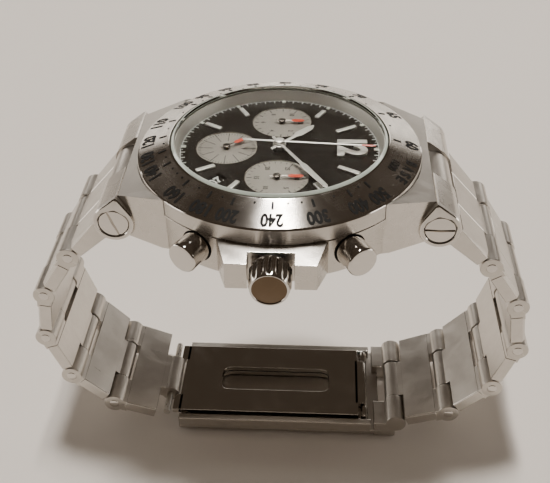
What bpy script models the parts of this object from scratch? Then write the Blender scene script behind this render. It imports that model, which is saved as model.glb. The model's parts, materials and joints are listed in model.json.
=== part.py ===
"""Chronograph wristwatch on a link bracelet, closed in a loop.

The origin is the middle of the case back's flat face. +X points to the crown, +Y to 12 o'clock
and +Z out of the dial. Sizes are in millimetres, and the last step turns the model to metres.
"""

import math

import bmesh
import bpy
from mathutils import Matrix, Vector

METRES_PER_MM = 0.001

# Case, along its axis and across it
case_radius = 20.0
case_bore = 16.0
case_bottom = 2.1
case_top = 7.65
seam = 0.05
fit_gap = 0.1
bezel_edge_height = 10.03
bezel_rim_height = 11.74
bezel_rim_width = 0.15
crystal_radius = 15.2
crystal_bottom = 11.0
crystal_top = 12.05
crystal_chamfer = 0.35
gasket_height = 0.22
gasket_width = 0.4
dial_radius = 14.4
dial_bottom = 8.75
dial_thickness = 0.4
flange_slope = 0.55
back_radius = 15.6
back_rim_radius = 17.6
back_thickness = 1.4
back_collar_height = 3.1
back_collar_wall = 0.8
back_gasket_width = 0.6
back_groove_inset = 1.35
back_groove_depth = 0.45
ring_wall = 2.8
ring_bottom = 3.3

# Lug shoulders and the hinge barrel at each end of the case
shoulder_start = 14.0
shoulder_corner = 15.3
shoulder_end = 21.2
shoulder_half_width = 13.7
shoulder_end_half_width = 11.0
shoulder_top = 10.0
shoulder_end_top = 8.7
shoulder_end_bottom = 2.5
barrel_place = (22.0, 4.8)
barrel_radius = 2.85
barrel_ridge = (21.3, 8.9)
barrel_half_width = 11.6
screw_head_radius = 2.05
screw_head_height = 1.0
screw_slot_width = 0.45
screw_slot_depth = 0.3
lug_pin_radius = 0.9
lug_thread_radius = 0.45

# Crown guard, crown and pushers
guard_reach = case_radius + 2.9
guard_low = 3.0
guard_high = 6.9
guard_half_width = 5.8
guard_root_half_width = 6.75
crown_notch_start = case_radius + 1.0
crown_side_gap = 0.225
crown_height = 5.17
crown_radius = 2.75
crown_notch_width = 2 * (crown_radius + crown_side_gap)
crown_start = case_radius + 1.9
crown_length = 4.0
crown_flutes = 16
crown_flute_depth = 0.18
crown_cavity_radius = 1.9
crown_cavity_depth = 2.5
crown_shaft_radius = 0.85
crown_shaft_end = case_radius + 0.6
crown_tube_radius = 1.38
crown_tube_bore = 1.0
crown_tube_end = case_radius + 3.0
stem_radius = 0.5
stem_inner_end = 9.0
pusher_angle = 29.8
pusher_height = 5.4
pusher_radius = 2.1
pusher_reach = case_radius + 3.3
pusher_head_start = case_radius - 0.4
pusher_pocket_floor = case_radius - 2.0
pusher_stem_radius = 0.75
pusher_stem_end = case_bore - 1.1
spring_turns = 3
spring_wire = 0.12

# Movement: heights of its layers, then its wheels
plate_radius = 13.0
plate_bottom = 6.4
plate_top = 7.6
bridge_radius = 12.6
bridge_bottom = 3.3
bridge_top = 4.1
rotor_radius = 13.6
rotor_hub_radius = 2.2
rotor_bottom = 1.9
rotor_top = 2.9
bearing_radius = 1.2
date_inner_radius = 10.2
date_outer_radius = 12.9
date_bottom = 7.8
date_thickness = 0.3
date_window_place = 11.55
date_window_size = (2.4, 1.9)
date_window_angle = 135.0
arbor_radius = 0.16
wheel_thickness = 0.3
counter_distance = 7.5
centre_module = 0.115
centre_teeth = 64
centre_pinion_teeth = 10
third_module = 0.105
third_teeth = 60
small_pinion_teeth = 8
fourth_module = 0.08
fourth_teeth = 80
barrel_module = 0.17
barrel_teeth = 60
barrel_drum_radius = 4.6
barrel_direction = 125.0
escape_direction = -15.0
escape_teeth = 15
escape_radius = 2.2
balance_direction = 50.0
balance_distance = 6.2
balance_radius = 3.0
balance_rim = 0.5
fork_distance = 2.9
fork_reach = 2.4
fork_spread = 1.2
hairspring_turns = 3
hairspring_radius = 1.9

# Hands: how far each reaches, the clock angle it shows, and its height
hand_thickness = 0.14
hour_hand_reach = 7.2
hour_hand_angle = 311.0
hour_hand_height = 9.75
minute_hand_reach = 13.3
minute_hand_angle = 58.5
minute_hand_height = 10.05
seconds_hand_reach = 13.5
seconds_hand_tail = 5.1
seconds_hand_angle = 4.0
seconds_hand_height = 10.35
counter_hand_height = 9.45
minute_counter_reach = 3.6
hour_counter_reach = 3.3
small_seconds_reach = 3.1
small_seconds_angle = 320.0

# Bracelet: hinge places on the 12 o'clock side (y, z), which the 6 o'clock side mirrors
hinges = [
    (22.0, 4.8),
    (30.1, -3.2),
    (34.9, -10.6),
    (36.12, -19.31),
    (33.4, -27.68),
    (27.29, -34.01),
    (19.02, -37.02),
]
link_width = 20.4
link_width_at_clasp = 18.3
link_thickness = 2.2
first_link_thickness = 3.0
knuckle_radius = 1.65
tongue_radius = 1.5
tongue_half_width = 3.9
first_knuckle_radius = 2.6
hinge_gap = 0.25
side_gap = 0.2
link_pin_radius = 0.6
link_bore_radius = 0.7
spring_bar_radius = 0.55
spring_bar_half_length = 8.0

# Folding clasp: cover outside, two blades folded inside it
cover_bottom = -39.9
cover_thickness = 1.2
cover_free_end = -17.0
cover_wall = 1.15
cover_wall_height = 1.5
cover_wall_end = 15.0
cover_arm_start = 15.5
blade_half_width = 7.6
blade_thickness = 0.8
blade_knuckle_half_width = 5.0
blade_knuckle_radius = 0.5
blade_ear_radius = 0.6
blade_pin_radius = 0.28
blade_bore_radius = 0.36
outer_blade_hinge = (-16.2, -38.1)
inner_blade_hinge = (14.0, -37.6)
inner_blade_height = -37.1
inner_blade_finger_end = -18.15
inner_blade_middle_end = -17.2

large_segments = 40
small_segments = 12


def surface(name, colour, metallic, roughness, alpha=1.0):
    """A Principled BSDF material."""
    material = bpy.data.materials.get(name)
    if material:
        return material
    material = bpy.data.materials.new(name)
    material.use_nodes = True
    shader = material.node_tree.nodes["Principled BSDF"]
    shader.inputs["Base Color"].default_value = (*colour, 1.0)
    shader.inputs["Metallic"].default_value = metallic
    shader.inputs["Roughness"].default_value = roughness
    shader.inputs["Alpha"].default_value = alpha
    return material


def brushed_steel():
    return surface("brushed_steel", (0.60, 0.57, 0.53), 1.0, 0.35)


def polished_steel():
    return surface("polished_steel", (0.72, 0.70, 0.67), 1.0, 0.12)


def brass():
    return surface("brass", (0.75, 0.58, 0.28), 1.0, 0.3)


def nickel():
    return surface("nickel", (0.66, 0.65, 0.62), 1.0, 0.25)


def black_rubber():
    return surface("black_rubber", (0.02, 0.02, 0.02), 0.0, 0.6)


def sapphire_glass():
    return surface("sapphire_glass", (0.9, 0.95, 0.93), 0.0, 0.03, 0.25)


def black_dial():
    return surface("black_dial", (0.012, 0.012, 0.013), 0.0, 0.35)


def made(name, bm, material=None, place=(0, 0, 0), turn=(0, 0, 0)):
    """An object from a closed mesh, its faces pointing out, at a place with a turn in degrees."""
    bmesh.ops.remove_doubles(bm, verts=bm.verts, dist=0.0001)
    bmesh.ops.recalc_face_normals(bm, faces=bm.faces)
    mesh = bpy.data.meshes.new(name)
    bm.to_mesh(mesh)
    bm.free()
    return placed(name, mesh, material, place, turn)


def placed(name, mesh, material=None, place=(0, 0, 0), turn=(0, 0, 0)):
    thing = bpy.data.objects.new(name, mesh)
    thing.location = place
    thing.rotation_euler = [math.radians(angle) for angle in turn]
    if material:
        mesh.materials.clear()
        mesh.materials.append(material)
    bpy.context.scene.collection.objects.link(thing)
    return thing


def turned(profile, segments=large_segments):
    """A solid turned about Z from (radius, height) points: a ring if the profile starts off the axis."""
    bm = bmesh.new()
    points = [bm.verts.new((radius, 0, height)) for radius, height in profile]
    edges = [bm.edges.new(pair) for pair in zip(points, points[1:])]
    if profile[0][0] > 0:
        edges.append(bm.edges.new((points[-1], points[0])))
    bmesh.ops.spin(
        bm, geom=points + edges, cent=(0, 0, 0), axis=(0, 0, 1), angle=math.tau, steps=segments, use_merge=True
    )
    return bm


def cylinder(radius, bottom, top, segments=small_segments):
    return turned([(0, bottom), (radius, bottom), (radius, top), (0, top)], segments)


def tube(inner, outer, bottom, top, segments=large_segments):
    return turned([(inner, bottom), (outer, bottom), (outer, top), (inner, top)], segments)


def circle(radius, centre=(0, 0), segments=small_segments):
    angles = [math.tau * i / segments for i in range(segments)]
    return [(centre[0] + radius * math.cos(a), centre[1] + radius * math.sin(a)) for a in angles]


def extruded(outline, bottom, top, holes=()):
    """A plate from a flat outline, with holes through it."""
    bm = bmesh.new()
    edges = []
    for loop in (outline, *holes):
        points = [bm.verts.new((x, y, bottom)) for x, y in loop]
        edges += [bm.edges.new(pair) for pair in zip(points, points[1:] + points[:1])]
    bmesh.ops.triangle_fill(bm, edges=edges, use_beauty=True, normal=(0, 0, 1))
    lifted = bmesh.ops.extrude_face_region(bm, geom=bm.faces[:])["geom"]
    points = [item for item in lifted if isinstance(item, bmesh.types.BMVert)]
    bmesh.ops.translate(bm, vec=(0, 0, top - bottom), verts=points)
    return bm


def box(low, high):
    bm = bmesh.new()
    bmesh.ops.create_cube(bm, size=1.0)
    low, high = Vector(low), Vector(high)
    bmesh.ops.scale(bm, vec=high - low, verts=bm.verts)
    bmesh.ops.translate(bm, vec=(low + high) / 2, verts=bm.verts)
    return bm


def lofted(stations):
    """A solid along Y through rectangles: (y, half width, low, high) each."""
    bm = bmesh.new()
    rings = []
    for y, half, low, high in stations:
        corners = ((-half, y, low), (half, y, low), (half, y, high), (-half, y, high))
        rings.append([bm.verts.new(corner) for corner in corners])
    for ring, following in zip(rings, rings[1:]):
        for i in range(4):
            bm.faces.new((ring[i], ring[i - 1], following[i - 1], following[i]))
    bm.faces.new(rings[0])
    bm.faces.new(rings[-1])
    return bm


def along_x(bm):
    """Turns a shape that was made along Z to lie along X."""
    bmesh.ops.rotate(bm, cent=(0, 0, 0), matrix=Matrix.Rotation(math.pi / 2, 3, "Y"), verts=bm.verts)
    return bm


def across(outline, low, high):
    """A plate whose outline is in (y, z) and whose thickness lies along X."""
    bm = extruded(outline, low, high)
    to_x = Matrix(((0, 0, 1), (1, 0, 0), (0, 1, 0)))
    bmesh.ops.transform(bm, matrix=to_x.to_4x4(), verts=bm.verts)
    return bm


def plain_copy(thing):
    """Replaces an object's modifiers by the mesh that they make."""
    evaluated = thing.evaluated_get(bpy.context.evaluated_depsgraph_get())
    mesh = bpy.data.meshes.new_from_object(evaluated)
    mesh.name = thing.name
    thing.modifiers.clear()
    thing.data = mesh
    bm = bmesh.new()
    bm.from_mesh(mesh)
    bmesh.ops.remove_doubles(bm, verts=bm.verts, dist=0.001)
    bmesh.ops.dissolve_degenerate(bm, dist=0.001, edges=bm.edges)
    bm.to_mesh(mesh)
    bm.free()


def combine(thing, operation, shapes):
    """Adds shapes to an object or cuts them out of it. Each is a mesh, or (mesh, place, turn)."""
    helpers = []
    for shape in shapes:
        bm, *where = shape if isinstance(shape, tuple) else (shape,)
        helper = made("helper", bm, None, *where)
        modifier = thing.modifiers.new("shape", "BOOLEAN")
        modifier.operation = operation
        modifier.solver = "EXACT"
        modifier.object = helper
        helpers.append(helper)
    bpy.context.view_layer.update()
    plain_copy(thing)
    for helper in helpers:
        bpy.data.objects.remove(helper)
    return thing


def add(thing, *shapes):
    return combine(thing, "UNION", shapes)


def cut(thing, *shapes):
    return combine(thing, "DIFFERENCE", shapes)


def polar(distance, degrees):
    """A point at a distance and a mathematical angle, from +X towards +Y."""
    angle = math.radians(degrees)
    return (distance * math.cos(angle), distance * math.sin(angle))


def clock_turn(degrees):
    """The turn about Z that brings a hand made pointing to 12 o'clock to a clock angle."""
    return (0, 0, -degrees)


# ---------------------------------------------------------------- case


def teardrop():
    """The barrel's section in (y, z): a circle drawn up to its ridge."""
    (y, z), (ridge_y, ridge_z) = barrel_place, barrel_ridge
    distance = math.hypot(ridge_y - y, ridge_z - z)
    towards = math.atan2(ridge_z - z, ridge_y - y)
    spread = math.acos(barrel_radius / distance)
    steps = 14
    points = [barrel_ridge]
    for i in range(steps + 1):
        angle = towards + spread + (math.tau - 2 * spread) * i / steps
        points.append((y + barrel_radius * math.cos(angle), z + barrel_radius * math.sin(angle)))
    return points


def build_case_middle():
    body = cylinder(case_radius, case_bottom, case_top, large_segments)
    case = made("case_middle", body, brushed_steel())
    shoulders = [
        (shoulder_start, shoulder_half_width + 0.3, case_bottom, shoulder_top),
        (shoulder_corner, shoulder_half_width, case_bottom, shoulder_top),
        (shoulder_end, shoulder_end_half_width, shoulder_end_bottom, shoulder_end_top),
    ]
    guard = [
        (case_radius - 2, guard_root_half_width + 0.6, guard_low - 0.5, case_top - 0.02),
        (case_radius, guard_root_half_width, guard_low - 0.3, case_top - 0.02),
        (guard_reach, guard_half_width, guard_low, guard_high),
    ]
    for turn in (0, 180):
        add(
            case,
            (lofted(shoulders), (0, 0, 0), (0, 0, turn)),
            (across(teardrop(), -barrel_half_width, barrel_half_width), (0, 0, 0), (0, 0, turn)),
        )
    add(case, (lofted(guard), (0, 0, 0), (0, 0, -90)))
    seat = case_top + 0.01
    bezel_seat = case_radius + 0.06
    groove = back_rim_radius - back_groove_inset
    below = case_bottom - fit_gap
    bore = [
        (0, below - 1),
        (groove + back_gasket_width + seam, below - 1),
        (groove + back_gasket_width + seam, case_bottom + back_groove_depth),
        (groove - seam, case_bottom + back_groove_depth),
        (groove - seam, below),
        (case_bore, below),
        (case_bore, seat),
        (bezel_seat, seat),
        (bezel_seat, crystal_top + 1),
        (0, crystal_top + 1),
    ]
    half_notch = crown_notch_width / 2
    cut(
        case,
        turned(bore),
        box((crown_notch_start, -half_notch, 0), (guard_reach + 1, half_notch, case_top + 2)),
        (
            cylinder(crown_tube_radius + seam, case_bore - 1.5, crown_notch_start + 1, 16),
            (0, 0, crown_height),
            (0, 90, 0),
        ),
    )
    for angle in (-pusher_angle, pusher_angle):
        pocket = [
            (0, case_bore - 1.5),
            (pusher_stem_radius + fit_gap, case_bore - 1.5),
            (pusher_stem_radius + fit_gap, pusher_pocket_floor),
            (pusher_radius + fit_gap, pusher_pocket_floor),
            (pusher_radius + fit_gap, case_radius + 2),
            (0, case_radius + 2),
        ]
        cut(case, (turned(pocket, 16), (0, 0, pusher_height), (0, 90, angle)))
    y, z = barrel_place
    tongue_room = first_knuckle_radius + hinge_gap + seam
    room_half_width = tongue_half_width + side_gap
    head_floor = barrel_half_width - screw_head_height - seam
    half_barrel = [
        (screw_head_radius + 2 * seam, barrel_half_width + 1),
        (screw_head_radius + 2 * seam, head_floor),
        (lug_pin_radius + seam, head_floor),
        (lug_pin_radius + seam, room_half_width),
        (tongue_room, room_half_width),
    ]
    other_half = [(radius, -height) for radius, height in half_barrel[::-1]]
    ends = [(0, barrel_half_width + 1)], [(0, -barrel_half_width - 1)]
    for side in (1, -1):
        hollow = turned(ends[0] + half_barrel + other_half + ends[1], 16)
        cut(case, (hollow, (0, side * y, z), (0, 90, 0)))
    return case


def build_lug_pins():
    """Each barrel holds a slotted sleeve from one end and a slotted screw from the other."""
    y, z = barrel_place
    head_start = barrel_half_width - screw_head_height
    sleeve_end = tongue_half_width + 1.0
    sleeve = [
        (0, -barrel_half_width),
        (screw_head_radius, -barrel_half_width),
        (screw_head_radius, -head_start),
        (lug_pin_radius, -head_start),
        (lug_pin_radius, sleeve_end),
        (lug_thread_radius + seam, sleeve_end),
        (lug_thread_radius + seam, 0),
        (0, 0),
    ]
    screw = [
        (0, seam),
        (lug_thread_radius, seam),
        (lug_thread_radius, sleeve_end + seam),
        (lug_pin_radius, sleeve_end + seam),
        (lug_pin_radius, head_start),
        (screw_head_radius, head_start),
        (screw_head_radius, barrel_half_width),
        (0, barrel_half_width),
    ]
    slot_half = screw_slot_width / 2
    for side, name, slot_turn in ((1, "12", 90), (-1, "6", 30)):
        for kind, profile, end in (("pin", sleeve, -1), ("screw", screw, 1)):
            place, turn = (0, side * y, z), (0, 90, 0)
            part = made(f"lug_{kind}_{name}", turned(profile, small_segments), polished_steel(), place, turn)
            depths = sorted((end * (barrel_half_width - screw_slot_depth), end * (barrel_half_width + 1)))
            slot = box((-3, -slot_half, depths[0]), (3, slot_half, depths[1]))
            bmesh.ops.rotate(
                slot, cent=(0, 0, 0), matrix=Matrix.Rotation(math.radians(slot_turn), 3, "Z"), verts=slot.verts
            )
            cut(part, (slot, place, turn))


def build_bezel():
    ledge = crystal_radius - gasket_width
    profile = [
        (case_bore, case_top + seam),
        (case_radius, case_top + seam),
        (case_radius, bezel_edge_height),
        (crystal_radius + fit_gap + bezel_rim_width, bezel_rim_height),
        (crystal_radius + fit_gap, bezel_rim_height),
        (crystal_radius + fit_gap, crystal_bottom - gasket_height - seam),
        (ledge + fit_gap, crystal_bottom - gasket_height - seam),
        (ledge + fit_gap, dial_bottom + dial_thickness + seam),
        (case_bore, dial_bottom + dial_thickness + seam),
    ]
    made("bezel", turned(profile), brushed_steel())


def build_glass():
    profile = [
        (0, crystal_bottom),
        (crystal_radius, crystal_bottom),
        (crystal_radius, crystal_top - crystal_chamfer),
        (crystal_radius - crystal_chamfer, crystal_top),
        (0, crystal_top),
    ]
    made("crystal", turned(profile), sapphire_glass())
    low = crystal_bottom - gasket_height
    gasket = tube(crystal_radius - gasket_width + 0.12, crystal_radius, low - 0.02, crystal_bottom - 0.03)
    made("crystal_gasket", gasket, black_rubber())


def build_dial():
    low, high = dial_bottom, dial_bottom + dial_thickness
    half_x, half_y = (size / 2 for size in date_window_size)
    turn = math.radians(90 - date_window_angle)
    middle = polar(date_window_place, 90 - date_window_angle)
    window = [
        (
            middle[0] + x * math.cos(turn) - y * math.sin(turn),
            middle[1] + x * math.sin(turn) + y * math.cos(turn),
        )
        for x, y in ((-half_x, -half_y), (half_x, -half_y), (half_x, half_y), (-half_x, half_y))
    ]
    holes = [circle(1.1, segments=16), window]
    holes += [circle(0.5, centre) for centre in (minute_counter_place, hour_counter_place, fourth_place)]
    outline = circle(dial_radius, segments=large_segments)
    made("dial", extruded(outline, low, high, holes), black_dial())
    foot = high + seam
    outer = crystal_radius - gasket_width + fit_gap - seam
    flange_top = crystal_bottom - gasket_height - 0.1
    profile = [
        (dial_radius - 0.3, foot),
        (outer, foot),
        (outer, flange_top),
        (dial_radius - 0.3 + flange_slope, flange_top),
    ]
    made("inner_flange", turned(profile), polished_steel())


def build_case_back():
    collar_outer = case_bore - fit_gap
    collar_inner = collar_outer - back_collar_wall
    profile = [
        (0, 0),
        (back_radius, 0),
        (back_rim_radius, back_thickness + 0.1),
        (back_rim_radius, case_bottom - seam),
        (collar_outer, case_bottom - seam),
        (collar_outer, back_collar_height),
        (collar_inner, back_collar_height),
        (collar_inner, back_thickness),
        (0, back_thickness),
    ]
    made("case_back", turned(profile), brushed_steel())
    groove = back_rim_radius - back_groove_inset
    gasket_top = case_bottom + back_groove_depth - seam
    gasket = tube(groove, groove + back_gasket_width, case_bottom - 0.02, gasket_top)
    made("case_back_gasket", gasket, black_rubber())


# ------------------------------------------------- crown and pushers


def build_crown():
    place, turn = (0, 0, crown_height), (0, 90, 0)
    end = crown_start + crown_length
    cavity_end = crown_start + crown_cavity_depth
    profile = [
        (0, crown_shaft_end),
        (crown_shaft_radius, crown_shaft_end),
        (crown_shaft_radius, cavity_end),
        (crown_cavity_radius, cavity_end),
        (crown_cavity_radius, crown_start),
        (crown_radius - 0.2, crown_start),
        (crown_radius, crown_start + 0.2),
        (crown_radius, end - 0.7),
        (crown_radius - 0.45, end),
        (0, end),
    ]
    crown = made("crown", turned(profile, 2 * crown_flutes), polished_steel(), place, turn)
    for point in crown.data.vertices:
        radius, step = math.hypot(point.co.x, point.co.y), math.atan2(point.co.y, point.co.x)
        in_flute = round(step * crown_flutes / math.pi) % 2 == 1
        if radius > crown_radius - 0.1 and in_flute:
            factor = (radius - crown_flute_depth) / radius
            point.co.x *= factor
            point.co.y *= factor
    tube_start = case_bore + seam
    made(
        "crown_tube", tube(crown_tube_bore, crown_tube_radius, tube_start, crown_tube_end, 16), nickel(), place, turn
    )
    seal = tube(crown_tube_radius + 0.06, crown_cavity_radius - 0.04, crown_start + 0.3, crown_start + 0.9, 24)
    made("crown_seal", seal, black_rubber(), place, turn)
    stem = cylinder(stem_radius, stem_inner_end, crown_shaft_end - seam)
    made("winding_stem", stem, nickel(), place, turn)


def coil(radius, length, start):
    """A helical spring along Z as a mesh."""
    curve = bpy.data.curves.new("coil", "CURVE")
    curve.dimensions = "3D"
    curve.bevel_depth = spring_wire
    curve.bevel_resolution = 0
    curve.use_fill_caps = True
    steps = 8 * spring_turns
    spline = curve.splines.new("POLY")
    spline.points.add(steps)
    for i, point in enumerate(spline.points):
        angle = math.tau * i / 8
        point.co = (radius * math.cos(angle), radius * math.sin(angle), start + length * i / steps, 1)
    helper = bpy.data.objects.new("coil", curve)
    bm = bmesh.new()
    mesh = bpy.data.meshes.new_from_object(helper)
    bm.from_mesh(mesh)
    bpy.data.objects.remove(helper)
    bpy.data.meshes.remove(mesh)
    return bm


def build_pushers():
    for name, angle in (("start", pusher_angle), ("reset", -pusher_angle)):
        place, turn = (0, 0, pusher_height), (0, 90, angle)
        profile = [
            (0, pusher_stem_end),
            (pusher_stem_radius, pusher_stem_end),
            (pusher_stem_radius, pusher_head_start),
            (pusher_radius, pusher_head_start),
            (pusher_radius, pusher_reach - 0.6),
            (pusher_radius - 0.5, pusher_reach),
            (0, pusher_reach),
        ]
        made(f"pusher_{name}", turned(profile, 16), polished_steel(), place, turn)
        room = pusher_head_start - pusher_pocket_floor
        spring = coil(
            (pusher_radius + pusher_stem_radius) / 2,
            room - 2 * spring_wire - 2 * fit_gap,
            pusher_pocket_floor + spring_wire + fit_gap,
        )
        made(f"pusher_spring_{name}", spring, nickel(), place, turn)


# ---------------------------------------------------------- movement


def gear(teeth, module, phase_degrees=0.0):
    """A gear's outline, its first tooth at the phase angle."""
    pitch = teeth * module / 2
    points = []
    for i in range(2 * teeth):
        radius = pitch + 0.6 * module if i % 2 == 0 else pitch - module
        points.append(polar(radius, phase_degrees + 180 * i / teeth))
    return points


def centre_distance(teeth, pinion_teeth, module):
    return (teeth + pinion_teeth) * module / 2


def meeting(first, second, first_reach, second_reach):
    """The point at these distances from two points, on the +X side of the line between them."""
    a, b = Vector(first), Vector(second)
    span = (b - a).length
    along = (span**2 + first_reach**2 - second_reach**2) / (2 * span)
    aside = math.sqrt(first_reach**2 - along**2)
    direction = (b - a) / span
    return tuple(a + direction * along + Vector((-direction.y, direction.x)) * aside)


def offset(place, distance, degrees):
    step = polar(distance, degrees)
    return (place[0] + step[0], place[1] + step[1])


def heading(start, end):
    return math.degrees(math.atan2(end[1] - start[1], end[0] - start[0]))


def facing_gap(start, end, teeth):
    """The phase that turns a pinion's gap towards the wheel that drives it."""
    return heading(start, end) + 180 + 180 / teeth


centre_place = (0.0, 0.0)
minute_counter_place = (counter_distance, 0.0)
hour_counter_place = (-counter_distance, 0.0)
fourth_place = (0.0, -counter_distance)
third_place = meeting(
    centre_place,
    fourth_place,
    centre_distance(centre_teeth, small_pinion_teeth, centre_module),
    centre_distance(third_teeth, small_pinion_teeth, third_module),
)
mainspring_place = polar(centre_distance(barrel_teeth, centre_pinion_teeth, barrel_module), barrel_direction)
escape_place = offset(
    fourth_place, centre_distance(fourth_teeth, small_pinion_teeth, fourth_module), escape_direction
)
fork_place = offset(escape_place, fork_distance, balance_direction)
balance_place = offset(escape_place, balance_distance, balance_direction)
arbor_bottom = bridge_top + seam
arbor_top = plate_bottom - seam


def build_wheels():
    """The going train from the mainspring barrel to the escape wheel."""
    wheels = [
        ("centre_wheel", centre_place, centre_teeth, centre_module, third_place, 4.4,
         centre_pinion_teeth, barrel_module, mainspring_place, (5.7, 6.3), arbor_top),
        ("third_wheel", third_place, third_teeth, third_module, fourth_place, 5.0,
         small_pinion_teeth, centre_module, centre_place, (4.3, 4.8), arbor_top),
        ("fourth_wheel", fourth_place, fourth_teeth, fourth_module, escape_place, 5.6,
         small_pinion_teeth, third_module, third_place, (4.9, 5.4), counter_hand_height - seam),
    ]
    for name, place, teeth, module, next_place, height, leaves, leaf_module, driver, span, top in wheels:
        outline = gear(teeth, module, heading(place, next_place))
        wheel = made(name, extruded(outline, height, height + wheel_thickness), brass(), (*place, 0))
        pinion = gear(leaves, leaf_module, facing_gap(driver, place, leaves))
        add(wheel, (extruded(pinion, *span), (*place, 0)), (cylinder(arbor_radius, arbor_bottom, top, 8), (*place, 0)))
    outline = gear(barrel_teeth, barrel_module, heading(mainspring_place, centre_place))
    barrel = made("mainspring_barrel", extruded(outline, 5.8, 6.2), brass(), (*mainspring_place, 0))
    drum = cylinder(barrel_drum_radius, 4.9, 6.0, 24)
    add(barrel, (drum, (*mainspring_place, 0)), (cylinder(0.6, arbor_bottom, arbor_top, 8), (*mainspring_place, 0)))
    tips = []
    for i in range(escape_teeth):
        angle = 360 * i / escape_teeth
        tips += [polar(escape_radius, angle), polar(escape_radius - 0.45, angle + 6)]
    escape = made("escape_wheel", extruded(tips, 4.5, 4.8), nickel(), (*escape_place, 0))
    pinion = gear(small_pinion_teeth, fourth_module, facing_gap(fourth_place, escape_place, small_pinion_teeth))
    add(
        escape,
        (extruded(pinion, 5.5, 6.0), (*escape_place, 0)),
        (cylinder(arbor_radius, arbor_bottom, arbor_top, 8), (*escape_place, 0)),
    )


def build_escapement():
    inner = escape_radius + 0.22 - fork_distance
    fork_outline = [
        (inner, -fork_spread - 0.2),
        (inner, -fork_spread + 0.2),
        (-0.25, -0.3),
        (-0.25, 0.3),
        (inner, fork_spread - 0.2),
        (inner, fork_spread + 0.2),
        (0.3, 0.45),
        (fork_reach, 0.12),
        (fork_reach, -0.12),
        (0.3, -0.45),
    ]
    turn = (0, 0, balance_direction)
    fork = made("pallet_fork", extruded(fork_outline, 4.5, 4.8), nickel(), (*fork_place, 0), turn)
    add(fork, (cylinder(arbor_radius, arbor_bottom, 5.2, 8), (*fork_place, 0)))
    rim = tube(balance_radius - balance_rim, balance_radius, 5.0, 5.4, 24)
    balance = made("balance_wheel", rim, brass(), (*balance_place, 0))
    reach = balance_radius - balance_rim / 2
    add(
        balance,
        (box((-reach, -0.2, 5.05), (reach, 0.2, 5.3)), (*balance_place, 0)),
        (box((-0.2, -reach, 5.05), (0.2, reach, 5.3)), (*balance_place, 0)),
        (cylinder(0.35, 4.4, 4.8, 10), (*balance_place, 0)),
        (cylinder(arbor_radius, arbor_bottom, arbor_top, 8), (*balance_place, 0)),
    )
    steps = 12 * hairspring_turns
    first = 0.35
    outer, inner = [], []
    for i in range(steps + 1):
        radius = first + (hairspring_radius - first) * i / steps
        outer.append(polar(radius + 0.05, 30 * i))
        inner.append(polar(radius - 0.05, 30 * i))
    spiral = extruded(outer + inner[::-1], 5.7, 6.0)
    made("hairspring", spiral, nickel(), (*balance_place, 0))


def build_plates():
    """The main plate under the dial, the bridge behind the train, and the ring that holds both."""
    holes = [circle(0.95, segments=16)]
    holes += [circle(0.35, place) for place in (minute_counter_place, hour_counter_place, fourth_place)]
    plate = extruded(circle(plate_radius, segments=large_segments), plate_bottom, plate_top, holes)
    main_plate = made("main_plate", plate, nickel())
    posts = [polar(11.4, angle) for angle in (200, 62)]
    for post in posts:
        add(main_plate, (cylinder(0.9, bridge_top + seam, plate_bottom + 0.3), (*post, 0)))
    bridge = made("train_bridge", cylinder(bridge_radius, bridge_bottom, bridge_top, large_segments), nickel())
    bite = balance_radius + 0.9
    cut(
        bridge,
        (cylinder(bite, bridge_bottom - 1, bridge_top + 1, 24), (*balance_place, 0)),
        (cylinder(bearing_radius + fit_gap, bridge_bottom - 1, bridge_bottom + 0.4), (0, 0, 0)),
    )
    cock = cylinder(bite - 0.3, bridge_bottom, bridge_top, 20)
    made("balance_cock", cock, nickel(), (*balance_place, 0))
    ring = made("movement_ring", tube(
        plate_radius + fit_gap, case_bore - fit_gap, ring_bottom, dial_bottom - seam
    ), nickel())
    cut(ring, (cylinder(stem_radius + 0.3, plate_radius - 1, case_bore + 1), (0, 0, crown_height), (0, 90, 0)))
    for angle in (-pusher_angle, pusher_angle):
        hole = cylinder(pusher_stem_radius + 0.15, plate_radius - 1, case_bore + 1)
        cut(ring, (hole, (0, 0, pusher_height), (0, 90, angle)))
    date = tube(date_inner_radius, date_outer_radius, date_bottom, date_bottom + date_thickness)
    made("date_disc", date, black_dial())


def build_rotor():
    half_turn = [polar(rotor_radius, 180 * i / 20) for i in range(21)]
    inner_arc = [polar(rotor_hub_radius, 180 - 180 * i / 8) for i in range(9)]
    weight = extruded(half_turn + inner_arc, rotor_bottom, rotor_top)
    rotor = made("winding_rotor", weight, brass())
    bore = bearing_radius + seam
    add(rotor, tube(bore, rotor_hub_radius + 0.4, rotor_bottom, rotor_top, 24))
    profile = [
        (0, rotor_bottom - 0.35),
        (bearing_radius + 0.5, rotor_bottom - 0.35),
        (bearing_radius + 0.5, rotor_bottom - seam),
        (bearing_radius, rotor_bottom - seam),
        (bearing_radius, bridge_bottom + 0.3),
        (0, bridge_bottom + 0.3),
    ]
    made("rotor_bearing", turned(profile, 24), polished_steel())


# ------------------------------------------------------------- hands


def leaf(reach, half_width, tail):
    """A tapering hand's outline, pointing to 12 o'clock."""
    return [
        (-half_width * 0.6, -tail),
        (half_width * 0.6, -tail),
        (half_width, reach * 0.35),
        (half_width * 0.7, reach * 0.9),
        (0, reach),
        (-half_width * 0.7, reach * 0.9),
        (-half_width, reach * 0.35),
    ]


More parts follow.
